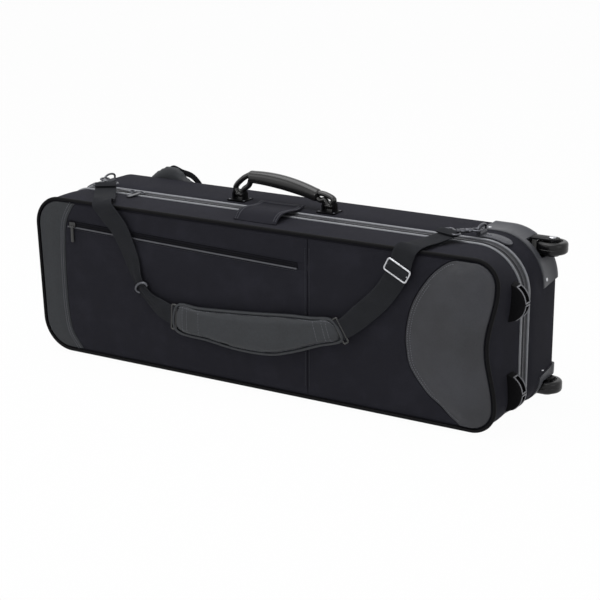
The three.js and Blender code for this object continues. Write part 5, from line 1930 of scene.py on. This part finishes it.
@dataclass
class RingAndHook:
    """Strap ring on its leatherette tab, with the snap hook that hangs in it."""

    side: str
    x: float
    way: int
    turn: float
    tab_y: float = 133.0
    tab_length: float = 54.0
    tab_width: float = 24.0
    roll: float = 4.4
    tube: float = 1.9
    ring_half: float = 15.0
    leg: float = 7.5
    crown: float = 6.0
    hook_rise: float = 7.6
    eye: float = 7.5
    eye_tube: float = 1.8
    slack: float = 2.5
    barrel: tuple[Lay, ...] = (
        (0, -1.4), (2.2, -1.4), (3.0, 0.0), (3.6, 2.0), (3.9, 10.0), (3.2, 11.2), (3.2, 12.6), (4.2, 13.6),
        (4.2, 20.0), (3.0, 21.0), (3.0, 22.4), (4.0, 23.4), (4.0, 27.0), (0, 27.0),
    )
    barrel_length: float = 27.0
    bar_depth: float = 13.0
    bar_half: float = 21.5
    bar_tube: float = 1.9

    @property
    def roll_z(self) -> float:
        """Height of the ring's straight bar."""
        return BODY.top + 0.3 + self.roll

    def local(self, x: float, y: float) -> Vector:
        """Case place of a place in the hook's own frame."""
        turned = Matrix.Rotation(math.radians(self.turn), 3, "Z") @ vec(x, y, 0)
        return vec(self.x, self.tab_y - self.ring_half, self.roll_z + self.hook_rise) + turned

    @property
    def bar(self) -> Vector:
        """Middle of the bar that carries the web."""
        return self.local(0, -self.slack - self.eye - self.barrel_length - self.bar_depth + self.bar_tube)

    def tab(self) -> None:
        """Leatherette tab that follows the corner, rolled round the ring's bar and stitched."""
        ring, corner = BODY.rim_outline(-BODY.back_swell - 0.3), BODY.corner_steps
        start = 3 * corner if self.way > 0 else 3 * corner + BODY.edge_steps
        path = Path([vec(self.x, 0, ring[start].z), *(ring[start - self.way * i] for i in range(corner))])
        rings, steps, half = [], 44, self.tab_width / 2
        seams: tuple[Track, Track] = ([], [])
        for i in range(steps + 1):
            reach = self.tab_length * (1 - (1 - i / steps) ** 1.6)
            at, along = path.at(reach), path.along(max(reach, 0.6))
            out = vec(-along.z, 0, along.x) * (-self.way)
            out = -out if out.z < 0 and abs(out.z) > abs(out.x) or out.x * self.way < 0 else out
            over = clamp((reach - (self.tab_length - half)) / half)
            wide = half * math.sqrt(max(0.0, 1 - over**2)) + 0.15
            eased = max(wide - 1.2, 0.05)
            section = [(-wide, 0), (wide, 0), (wide, 1.7), (eased, 2.3), (-eased, 2.3), (-wide, 1.7)]
            rings.append([at + vec(0, self.tab_y + a, 0) + out * b for a, b in section])
            inner = wide - 2.6
            if reach > 8 and inner > 0.4:
                for row, sign in zip(seams, (-1, 1)):
                    row.append((at + vec(0, self.tab_y + sign * inner, 0) + out * 2.35, out))
        bore = self.tube + 0.3
        wall = mirrored([(bore, -half), (self.roll, -half)])
        surface = Surface().skin(rings).lathe(wall, vec(self.x, self.tab_y, self.roll_z), Y_WAY)
        made(f"stitched_tab_{self.side}", surface, TAB_LEATHER, "base", f"dring_tab_{self.side}", angle=35)
        FINE_SEAM.lay(f"tab_stitching_{self.side}", [[*seams[0], *reversed(seams[1])]], GREY_THREAD, "base")
        spot = (path.at(14) + vec(0, self.tab_y, 2.4), Z_WAY)
        Repeat(Unit.RIVET, (7.0, 7.0, 2.6)).lay(f"tab_rivet_{self.side}", [[spot]], GUNMETAL, "base")

    def ring(self) -> None:
        """D-shaped ring through the tab's roll."""
        turns = [math.pi * i / 24 for i in range(25)]
        bow = [(math.cos(a), self.leg + self.crown * math.sin(a)) for a in turns]
        spots = [(1, 0), *bow, (-1, 0)]
        points = [vec(self.x, self.tab_y + self.ring_half * c, self.roll_z + z) for c, z in spots]
        surface = Surface().tube(points, self.tube, closed=True, normal=X_WAY)
        made(f"strap_ring_{self.side}", surface, GUNMETAL, "base", f"dring_{self.side}", angle=60)

    def hook(self) -> None:
        """Snap hook: sprung eye, swivel barrel and the frame that holds the web."""
        root = -self.slack - self.eye
        eye = [self.local(self.eye * c, -self.slack + self.eye * s) for c, s in rounds(32)]
        surface = Surface().tube(eye, self.eye_tube, closed=True, normal=Z_WAY)
        surface.lathe(self.barrel, self.local(0, root), self.local(0, -1) - self.local(0, 0))
        surface.rod(self.local(3.4, root - 7), self.local(7.2, root - 5.6), 1.3)
        middle = self.local(0, root - self.barrel_length - self.bar_depth / 2)
        ways = (self.local(1, 0) - self.local(0, 0), self.local(0, 1) - self.local(0, 0))
        surface.loop(middle, ways, (self.bar_half, self.bar_depth / 2), 4.0, self.bar_tube, Z_WAY)
        made(f"sprung_hook_{self.side}", surface, GUNMETAL, "base", f"snap_hook_{self.side}", angle=50)

    def build(self) -> None:
        """Makes the tab, the ring and the hook."""
        self.tab()
        self.ring()
        self.hook()


@dataclass(frozen=True)
class WebRoute:
    """Way of a strap web from its hook: shares of the way, of the depth and of the height, the side it
    faces, and its width at equal steps."""

    end: float
    stops: tuple[tuple[float, float, float, float, float, float], ...]
    widths: tuple[float, ...]


LEFT_ROUTE = WebRoute(
    -0.270,
    (
        (0.0950, 0.2200, 1.0272, 0, 0, 1), (0.2090, 0.0533, 1.0301, 0, 0, 1),
        (0.2494, -0.0267, 1.0215, 0, -0.7, 0.7), (0.2896, -0.0471, 0.9821, 0, -1, 0),
        (0.4081, -0.0422, 0.8710, 0, -1, 0), (0.5097, -0.0422, 0.6989, 0, -1, 0),
        (0.5766, -0.0489, 0.5484, -0.2, -1, 0), (0.6630, -0.0578, 0.4695, -0.2, -1, 0),
        (0.8065, -0.0689, 0.4050, 0, -1, 0), (0.9254, -0.0689, 0.3728, 0, -1, 0),
        (1, -0.0689, 0.3584, 0, -1, 0),
    ),
    (1, 1, 1, 1, 1, 0.95, 0.8, 0.55, 0.55, 0.85, 0.9, 0.9),
)
RIGHT_ROUTE = WebRoute(
    0.327,
    (
        (0.0731, 0.2000, 1.0272, 0, 0, 1), (0.1183, 0.0622, 1.0258, 0, 0, 1),
        (0.1563, -0.0200, 1.0165, 0, -0.7, 0.7), (0.1892, -0.0427, 0.9785, 0, -1, 0),
        (0.2395, -0.0422, 0.8710, 0, -1, 0), (0.3964, -0.0422, 0.7133, 0, -1, 0),
        (0.5985, -0.0489, 0.5842, 0, -1, 0), (0.7655, -0.0689, 0.4910, 0, -1, 0),
        (0.8889, -0.0689, 0.4624, 0, -1, 0), (1, -0.0689, 0.4480, 0, -1, 0),
    ),
    (1, 1, 1, 1, 1, 1, 1, 1, 0.9, 0.9, 0.9),
)


def reaches(stations: Sequence[Station]) -> list[float]:
    """Length of the way up to each station."""
    return Path([s.at for s in stations]).reach


@dataclass
class ShoulderStrap:
    """Shoulder strap: two woven webs, the padded rest, the gathering ring and the sliding frame.

    It stays on the base when the lid swings down.
    """

    hooks: tuple[RingAndHook, RingAndHook]
    web: float = 38.0
    thick: float = 2.4
    steps: int = 132
    keep: float = 0.3
    pad_outline: tuple[Lay, ...] = (
        (-139.5, 135), (-93.5, 137), (9.5, 145), (88.5, 153), (126.5, 155), (168.5, 157), (189.5, 126),
        (145.5, 108), (87.5, 86), (48.5, 76), (-12.5, 74), (-73.5, 80), (-144.5, 90),
    )
    pad_layers: tuple[Lay, ...] = ((0.92, 0), (0.97, 0.2), (0.99, 0.5), (0.97, 0.8), (0.93, 1))
    pad_back: float = -10.6
    pad_front: float = -19.0
    buckles: tuple[tuple[str, float, float, float], ...] = (
        ("left", -146, 112.5, 3.0), ("right", 184, 141.0, -32.0),
    )
    loop_share: float = 0.67
    frame_share: float = 0.2395
    frame_up: float = 0.885
    frame_lean: float = 27.0

    def crumpled(self, piece: bpy.types.Object) -> bpy.types.Object:
        """Gives a piece a mesh of its own."""
        anchor = tuple(to_row(self.hooks[0].bar))
        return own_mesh(piece)

    def stations(self, hook: RingAndHook, route: WebRoute) -> tuple[list[Station], list[float]]:
        """Stations and half widths of a web, without the turn round its hook.

        Args:
            hook: The hook that it hangs in.
            route: Its way.

        Returns:
            The stations, and half the width at each.
        """
        start = hook.bar - vec(0, 0, hook.bar_tube + 0.3 + self.thick / 2)
        stops = []
        for way, back, up, *_ in route.stops:
            x = mix(start.x, route.end * BODY.right, way)
            stops.append(vec(x, back * BODY.depth, BODY.low + up * BODY.height))
        facing = [Z_WAY, *[vec(*stop[3:]) for stop in route.stops]]
        normals = [n.normalized() for n in curve(facing, self.steps)]
        halves = []
        for i in range(self.steps + 1):
            place = i / self.steps * (len(route.widths) - 1)
            here = min(int(place), len(route.widths) - 2)
            share = mix(route.widths[here], route.widths[here + 1], smooth(place - here))
            halves.append(share * self.web / 2)
        way = curve([start, *stops], self.steps)
        return stations_of(way, lambda i, along: along.cross(normals[i])), halves

    def ribbon(self, stations: Sequence[Station], halves: Sequence[float] = ()) -> Surface:
        """A web with firm edges, which cups where it is gathered.

        Args:
            stations: Where it goes.
            halves: Half its width at each, where it is gathered.

        Returns:
            The web.
        """
        rings, lays, full = [], [], self.web / 2
        section = pillow_section(1.0, self.thick / 2, 28, 7.0)
        for s, half, reach in zip(stations, halves or [full] * len(stations), reaches(stations)):
            slack = 1 - half / full
            ring = []
            for a, b in section:
                fold = slack * 4 * (a * a - 0.5)
                if slack > 0.12:
                    fold = slack * 7.0 * (math.cos(a * math.pi * 1.5) * 0.5)
                ring.append(s.at + s.u * (a * half) + s.v * (b - fold))
            rings.append(ring)
            lays.append([(a * self.web / 2, reach) for a, _ in section])
        return Surface().skin(rings, lays=lays)

    def wrapped(self, hook: RingAndHook, stations: Sequence[Station]) -> list[Station]:
        """Stations of the web's end, which turns round the hook's bar and lies back on the web.

        Args:
            hook: The hook.
            stations: Stations of the web.

        Returns:
            The stations.
        """
        out = (stations[0].at - stations[6].at).normalized()
        bar, turn = hook.bar, hook.bar_tube + 0.3 + self.thick / 2
        path = [bar + out * x + vec(0, 0, z) for x, z in ((-13, 0.6), (-9, 1.8), (-5, turn - 0.3), (0, turn))]
        for a in (0.6, 1.2, 1.8, 2.4):
            path.append(bar + out * (turn * math.sin(a)) + vec(0, 0, turn * math.cos(a)))
        return stations_of([*path, stations[0].at + out * 0.6], stations[2].u)

    def webs(self) -> None:
        """The two webs, each with its end turned round its hook."""
        for side, hook, route in zip(("left", "right"), self.hooks, (LEFT_ROUTE, RIGHT_ROUTE)):
            stations, halves = self.stations(hook, route)
            if side == "left":
                self.gather = stations[round(self.loop_share * self.steps)]
            surface = self.ribbon(self.wrapped(hook, stations)).add(self.ribbon(stations, halves))
            web = made(f"woven_web_{side}", surface, STRAP_WEB, "base", f"strap_web_{side}", angle=50)
            self.crumpled(web)

    def fittings(self) -> None:
        """Gathering ring on the left web and the metal frame on the right one."""
        g = self.gather
        tall = (g.v * 0.55 + g.u.cross(g.v) * 0.83).normalized()
        ring = [g.at + g.u * (14.0 * c) + tall * (8.5 * s) for c, s in rounds(36)]
        surface = Surface().tube(ring, 2.3, closed=True, normal=g.u.cross(tall))
        slot = "gloss_black"
        self.crumpled(made("gathering_ring", surface, GUNMETAL, "base", "strap_loop", angle=60, slot=slot))
        lean = math.radians(self.frame_lean)
        x = mix(self.hooks[1].bar.x, RIGHT_ROUTE.end * BODY.right, self.frame_share)
        middle = vec(x, -13.0, BODY.low + self.frame_up * BODY.height)
        ways = (vec(math.cos(lean), 0, -math.sin(lean)), vec(math.sin(lean), 0, math.cos(lean)))
        surface = Surface().loop(middle, ways, (21.5, 10.5), 3.5, 1.7, squeeze=0.85)
        surface.rod(middle - ways[0] * 20.5, middle + ways[0] * 20.5, 1.3, 14)
        self.crumpled(made("sliding_frame", surface, METAL, "base", "strap_slider", angle=60))
        rise = [-11.2, -11.5, -13.4, -15.6, -16.1, -15.6, -13.4, -11.5, -11.2]
        spots = [middle + ways[1] * mix(-12, 12, i / 8) + vec(0, y - middle.y, 0) for i, y in enumerate(rise)]
        tongue = self.ribbon(stations_of(curve(spots, 40), -ways[0]))
        self.crumpled(made("web_over_bar", tongue, STRAP_WEB, "base", angle=50))

    def pad(self) -> None:
        """Padded rest with a bound edge and a stitched line inside it."""
        edge = closed_curve([vec(x, 0, z) for x, z in reversed(self.pad_outline)], 7)
        middle = sum(edge, vec(0, 0, 0)) / len(edge)
        layers = [(share, mix(self.pad_back, self.pad_front, depth)) for share, depth in self.pad_layers]
        rings = [moved((middle.lerp(p, share) for p in edge), y) for share, y in layers]
        pad = Padding(voxel=4.5, cap=3.2).swell(Surface().skin(rings).piece("padded_rest"))
        finished(pad, PAD_LEATHER, "base", "shoulder_pad", angle=60)
        out = outward_stations(edge)
        inner = [s.at - s.u * 5.5 for s in out]
        rows = [on_front(pad, [*inner, inner[0]])]
        for share in (0.045, 0.075, 0.15, 0.88, 0.93, 0.955):
            x, lean = mix(-139.0, 178.0, share), 0 if share < 0.5 else 12
            heights = [p.z for p in inner if abs(p.x - x) < 7]
            low, high = min(heights), max(heights)
            shares = [i / 12 for i in range(13)]
            rows.append(on_front(pad, [vec(x + lean * (0.5 - s), 0, mix(low, high, s)) for s in shares]))
        self.crumpled(pad)
        y = mix(self.pad_back, self.pad_front, 0.5)
        flange = outward_stations([s.at - s.u * 1.8 + vec(0, y, 0) for s in out])
        binding = Surface().sweep(pillow_section(2.4, 3.6, 16, 2.8), flange, closed=True)
        self.crumpled(made("bound_edge", binding, PAD_LEATHER, "base", angle=60))
        self.crumpled(SEAM.lay("rest_stitching", rows, GREY_THREAD, "base"))
        for side, x, z, lean in self.buckles:
            turn = math.radians(lean)
            ways = (vec(math.sin(turn), 0, math.cos(turn)), vec(math.cos(turn), 0, -math.sin(turn)))
            bar = Surface().loop(vec(x, y - 0.5, z), ways, (22.0, 4.6), 2.5, 1.9)
            self.crumpled(made(f"rest_buckle_{side}", bar, GLOSS_BLACK, "base", angle=60))

    def build(self) -> None:
        """Makes the strap."""
        self.webs()
        self.fittings()
        self.pad()


def on_front(piece: bpy.types.Object, points: Sequence[Vector], from_y: float = -80.0) -> Track:
    """Places and directions out where lines along Y first meet a piece.

    Args:
        piece: The piece, at rest.
        points: Places in X and Z in millimetres.
        from_y: Where the lines start.

    Returns:
        Places on the piece in millimetres with the direction out of it.
    """
    found = []
    for p in points:
        hit, at, normal, _ = piece.ray_cast(to_row(vec(p.x, from_y, p.z)), Y_WAY if from_y < 0 else FACE_WAY)
        if hit:
            found.append(((at - CASE_ORIGIN) / MM, normal.copy()))
    return found


# Back, inside and zip sliders


@dataclass
class BackStraps:
    """Padded carrying straps on the back with their webs and a hanging loop."""

    upper: tuple[Lay, ...] = (
        (-388, 243), (-366, 261), (-343, 278), (-322, 287), (-303, 275), (-262, 258), (-200, 249),
        (-100, 244), (80, 240),
    )
    lower: tuple[Lay, ...] = ((-388, 62), (-300, 58), (-200, 56), (-100, 57), (80, 60))
    upper_web: tuple[Lay, ...] = ((70, 240), (200, 236), (330, 232))
    lower_web: tuple[Lay, ...] = ((70, 60), (200, 63), (330, 66))
    hanging: tuple[Lay, ...] = ((-336, 292), (-324, 307), (-303, 302), (-281, 297), (-265, 284), (-256, 268))
    anchor_x: Lay = (304, 352)
    anchor_half: float = 22

    def _stations(self, route: Sequence[Lay], y: float, steps: int) -> list[Station]:
        """Stations of a strap that lies on the back, u across it and v away from the case."""
        points = Path(curve([vec(x, y, z) for x, z in route], 160)).spaced(steps + 1)
        return [Station(s.at, s.v, s.u) for s in stations_of(points, Y_WAY)]

    def pad(self, place: str, route: Sequence[Lay]) -> None:
        """One padded strap.

        Args:
            place: upper or lower.
            route: Places in X and Z that it passes.
        """
        steps = 60
        stations = self._stations(route, 232.8, steps)
        ends = [rounded(min(i, steps - i) / 3.0) * 0.35 + 0.65 for i in range(steps + 1)]
        surface = Surface().sweep(pillow_section(27.5, 4.6, 20, 3.0), stations, scales=ends)
        pad = Padding(voxel=5.0, cap=3.0).swell(surface.piece(f"padded_strap_{place}"))
        finished(pad, PAD_LEATHER, "base", f"backpack_pad_{place}", angle=60)
        rows = [on_front(pad, [s.at + s.u * side for s in stations[3:-3]], 300.0) for side in (-22.0, 22.0)]
        SEAM.lay(f"strap_stitching_{place}", rows, DARK_THREAD, "base", "leatherette")

    def web(self, place: str, route: Sequence[Lay]) -> None:
        """The web that runs on from a padded strap, with its adjusting frame.

        Args:
            place: upper or lower.
            route: Places in X and Z that it passes.
        """
        stations, section = self._stations(route, 230.4, 50), pillow_section(15.0, 1.1, 24, 7.0)
        lays = [[(a, reach) for a, _ in section] for reach in reaches(stations)]
        rings = [[s.at + s.u * a + s.v * b for a, b in section] for s in stations]
        surface = Surface().skin(rings, lays=lays)
        made(f"back_web_{place}", surface, BACK_WEB, "base", f"backpack_web_{place}", angle=50)
        s = stations[14]
        bar, lift = s.u * 17.5, vec(0, 2.6, 0)
        surface = Surface().loop(s.at + vec(0, 0.4, 0), (s.u, s.u.cross(Y_WAY)), (18.5, 9.0), 3.0, 1.9)
        surface.rod(s.at - bar + lift, s.at + bar + lift, 1.4)
        made(f"adjusting_frame_{place}", surface, GLOSS_BLACK, "base", angle=60)

    def anchors(self) -> None:
        """Hanging loop, and the stitched patches that hold the ends of the webs."""
        loop = Surface().sweep(pillow_section(5.5, 1.1, 16, 7.0), self._stations(self.hanging, 239.4, 40))
        made("hanging_loop", loop, BACK_WEB, "base", angle=50)
        for place, z in (("upper", 232.0), ("lower", 66.0)):
            ends = (z + self.anchor_half, z - self.anchor_half)
            left, right = (Path([vec(x, 0, end) for end in ends]) for x in self.anchor_x)
            patch = Surface().quilt(left, right, 0.0, 6.2, 0.6, roll=5.0, steps=(20, 20), wave=0.2)
            patch.points = [vec(p.x, BODY.depth + 0.2 - p.y, p.z) for p in patch.points]
            made(f"web_anchor_{place}", patch, LEATHERETTE, "base", angle=50)

    def build(self) -> None:
        """Makes the straps of the back."""
        self.pad("upper", self.upper)
        self.pad("lower", self.lower)
        self.web("upper", self.upper_web)
        self.web("lower", self.lower_web)
        self.anchors()


@dataclass
class Inside:
    """Plush covered blocks that hold the instrument."""

    blocks: tuple[str, ...] = ("bell_cradle", "tube_rest", "accessory_box")

    def build(self) -> None:
        """Makes the blocks with soft edges."""
        for node in self.blocks:
            refined(node, f"plush_{node}", PLUSH, 1.6)


@dataclass
class ZipSliders:
    """Sliders of the main zip and the slider and pull of the pocket zip."""

    tape_top: float = 287.3
    half_length: float = 6.5
    half_width: float = 7.5
    height: float = 3.4
    layers: tuple[Lay, ...] = (
        (0.9, 0.0), (1, 0.5), (1, 1.2), (0.86, 1.4), (0.86, 1.9), (1, 2.1), (1, 2.9), (0.92, 3.4),
    )

    def slider(self, side: str, x: float, way: Vector, length: float) -> None:
        """One slider with its bridge and pull.

        Args:
            side: left or right.
            x: Its place along the case.
            way: Where its pull points.
            length: The pull's length.
        """
        middle, across = vec(x, BODY.split, self.tape_top + 0.3), vec(-way.y, way.x, 0)
        outline = pillow_section(self.half_length, self.half_width, 28, 3.0)
        rings = [[middle + vec(a * size, b * size, z) for a, b in outline] for size, z in self.layers]
        turns = [math.pi * i / 12 for i in range(13)]
        bridge = [middle + vec(4.6 * math.cos(a), 0, 3.0 + 2.2 * math.sin(a)) for a in turns]
        surface = Surface().skin(rings).tube(bridge, 1.2, sides=10)
        z = self.tape_top + 0.3 + self.height - 0.2
        rings = []
        for i in range(33):
            reach = length * (1 - (1 - i / 32) ** 1.4)
            near = clamp((reach - (length - 4)) / 4)
            half = mix(2.4, 4.5, smooth(reach / 8)) * math.sqrt(max(0.0, 1 - near**2)) + 0.1
            at = middle + way * reach
            rim, dish = half * 0.86, half * 0.72
            section = [
                (-half, 0.15), (-half + 0.25, 0.0), (half - 0.25, 0.0), (half, 0.15), (half, 1.2),
                (rim, 1.6), (dish, 1.25), (-dish, 1.25), (-rim, 1.6), (-half, 1.2),
            ]
            rings.append([vec(at.x, at.y, z) + across * a + vec(0, 0, b) for a, b in section])
        surface.skin(rings)
        made(f"zip_slider_{side}", surface, GUNMETAL, f"zip_runner_{side}", f"main_slider_{side}", angle=40)

    def build(self) -> None:
        """Makes the sliders and pulls."""
        self.slider("left", -316.0, vec(-1, 0, 0), 30.5)
        self.slider("right", -296.0, FACE_WAY, 42.0)
        for node in ("pocket_slider", "pocket_pull"):
            refined(node, f"cast_{node}", GLOSS_BLACK, 0.35, slot="metal")


# Studio


class Rays(Nodes):
    """Node tree whose answer depends on the kind of ray, for the floor and the world."""

    def __init__(self, tree: bpy.types.NodeTree) -> None:
        """Empties the tree and adds its Light Path node."""
        super().__init__(tree)
        self.path = self.node("ShaderNodeLightPath").outputs

    def maths(self, operation: str, *numbers: bpy.types.NodeSocket | float) -> bpy.types.NodeSocket:
        """Result of a clamped Math node."""
        settings = {"operation": operation, "use_clamp": True}
        return self.node("ShaderNodeMath", settings, dict(enumerate(numbers))).outputs[0]

    def seen(self) -> bpy.types.NodeSocket:
        """1 for camera, glossy and transmission rays."""
        eye = self.maths("ADD", self.path["Is Camera Ray"], self.path["Is Glossy Ray"])
        return self.maths("ADD", eye, self.path["Is Transmission Ray"])

    def mixed(self, share: bpy.types.NodeSocket, *shaders: bpy.types.Node) -> bpy.types.Node:
        """Mix Shader between two shaders."""
        sources = [share, *(shader.outputs[0] for shader in shaders)]
        return self.node("ShaderNodeMixShader", {}, dict(enumerate(sources)))

    def finish(self, kind: str, shader: bpy.types.Node) -> None:
        """Joins a shader to the tree's output."""
        self.node(kind, {}, {"Surface": shader.outputs[0]})


@dataclass
class Studio:
    """Pale floor, plain soft light and the camera of the photograph."""

    target: tuple[float, float, float] = (0.0870, -0.10915, 0.176)
    focal_pixels: float = 1612.0
    yaw: float = 31.27
    pitch: float = 16.72
    roll: float = -0.21
    distance: float = 2.650
    ambient: float = 0.3
    floor_half: float = 9.0
    floor_glow: float = 0.95

    def _set_up(self, data: bpy.types.ID, place: Vector, way: Vector, roll: float = 0.0) -> bpy.types.Object:
        """Puts a camera or a lamp at a place, so that it looks along a direction.

        Args:
            data: The camera or the lamp.
            place: Where it stands.
            way: Where it looks.
            roll: Its turn about that direction in degrees.

        Returns:
            The object.
        """
        made = bpy.data.objects.new(data.name, data)
        made.location, made.rotation_mode = place, "QUATERNION"
        turned = Matrix.Rotation(math.radians(roll), 3, "Z").to_quaternion()
        made.rotation_quaternion = way.to_track_quat("-Z", "Y") @ turned
        bpy.context.scene.collection.objects.link(made)
        return made

    def camera(self) -> None:
        """Camera at the photograph's angle."""
        data = bpy.data.cameras.new("photo_view")
        data.sensor_width, data.lens = 36.0, self.focal_pixels * 36.0 / 600.0
        data.clip_start, data.clip_end = 0.05, 60.0
        yaw, pitch = math.radians(self.yaw), math.radians(self.pitch)
        back = vec(math.sin(yaw) * math.cos(pitch), -math.cos(yaw) * math.cos(pitch), math.sin(pitch))
        place = vec(*self.target) + back * self.distance
        bpy.context.scene.camera = self._set_up(data, place, -back, self.roll)

    def lamp(self, name: str, place: Vector, toward: Vector, size: Lay, watts: float) -> None:
        """One soft area lamp.

        Args:
            name: Its name.
            place: Where it hangs.
            toward: What it points at.
            size: Its width and height in metres.
            watts: Its power.
        """
        data = bpy.data.lights.new(name, "AREA")
        data.shape, data.size, data.size_y, data.energy = "RECTANGLE", size[0], size[1], watts
        self._set_up(data, place, toward - place)

    def lamps(self) -> None:
        """Wide lamp above, weak ones in front and at the wheel end, and a low strip before the patch."""
        middle = vec(0, 0, 0.15)
        self.lamp("above", vec(-0.3, -0.4, 2.4), middle, (2.6, 2.0), 44)
        self.lamp("front", vec(-2.2, -2.6, 1.4), middle, (1.8, 1.6), 9)
        self.lamp("end", vec(2.8, -0.6, 1.0), middle, (1.4, 1.4), 6)
        self.lamp("strip", vec(-0.35, -2.2, 0.36), vec(0.38, -0.1, 0.2), (0.2, 0.7), 3)

    def floor(self) -> None:
        """White floor that keeps the object's soft shadow and lets what is under it show through."""
        mesh, half = bpy.data.meshes.new("floor"), self.floor_half
        corners = [(x * half, y * half, 0) for x, y in ((-1, -1), (1, -1), (1, 1), (-1, 1))]
        mesh.from_pydata(corners, [], [(0, 1, 2, 3)])
        material = bpy.data.materials.new("studio_floor")
        material.use_nodes = True
        rays = Rays(material.node_tree)
        chalk = rays.node("ShaderNodeBsdfDiffuse", {}, {"Color": (0.9, 0.9, 0.9, 1)})
        glow = rays.node("ShaderNodeEmission", {}, {"Strength": 1.0})
        clear, side = rays.node("ShaderNodeBsdfTransparent"), rays.node("ShaderNodeNewGeometry").outputs
        white = rays.mixed(rays.maths("MULTIPLY", rays.seen(), self.floor_glow), chalk, glow)
        hidden = rays.maths("ADD", side["Backfacing"], rays.path["Is Shadow Ray"])
        open_share = rays.maths("MAXIMUM", hidden, rays.maths("MULTIPLY", rays.path["Is Camera Ray"], 0.5))
        rays.finish("ShaderNodeOutputMaterial", rays.mixed(open_share, white, clear))
        mesh.materials.append(material)
        linked("floor", mesh)

    def world(self) -> None:
        """White for what the camera and reflections see, and a plain grey for the soft light."""
        world = bpy.data.worlds.new("studio")
        bpy.context.scene.world = world
        world.use_nodes = True
        rays = Rays(world.node_tree)
        inputs = ({"Color": (1, 1, 1, 1), "Strength": strength} for strength in (self.ambient, 1.0))
        lit, shown = (rays.node("ShaderNodeBackground", {}, values) for values in inputs)
        rays.finish("ShaderNodeOutputWorld", rays.mixed(rays.seen(), lit, shown))

    def build(self) -> None:
        """Sets the studio."""
        bpy.context.scene.view_settings.view_transform = "Standard"
        self.camera()
        self.world()
        self.lamps()
        self.floor()


def guard_paths() -> tuple[Ring, Ring]:
    """Ways of the lower and the upper corner guard round the base."""
    out = BODY.back_swell + 0.3
    ring, steps = BODY.rim_outline(-out), BODY.corner_steps
    lower = [vec(367.5, 0, BODY.low - out), *ring[: steps + 1], vec(BODY.right + out, 0, 64.0)]
    turn = ring[2 * steps : 3 * steps + 1]
    upper = [vec(BODY.right + out, 0, 207.0), *turn, vec(344.5, 0, BODY.high + out)]
    return lower, upper


def main() -> None:
    """Builds the sub-assemblies in order."""
    logging.basicConfig(level=logging.INFO, format="%(message)s")
    lower, upper = guard_paths()
    left, right = RingAndHook("left", -390.5, -1, 40.0), RingAndHook("right", 360.5, 1, -44.0)
    parts = [
        Studio(), BodyCovers(), ZipBand(), LidFace(), ZipFlap(),
        WheelSet("top", 267.0, 1), WheelSet("bottom", 30.0, -1),
        CornerGuard("bottom", lower, (0.0, 9.0), ((20.0, 176.0), (150.0, 178.0))),
        CornerGuard("top", upper, (6.0, 0.0), ((12.0, 178.0), (150.0, 178.0))),
        EndSkid("upper", 212.1), EndSkid("lower", 64.0), Feet(), CarryHandle(),
        left, right, ShoulderStrap((left, right)), BackStraps(), Inside(), ZipSliders(),
    ]
    for part in parts:
        part.build()


if __name__ == "__main__":
    main()
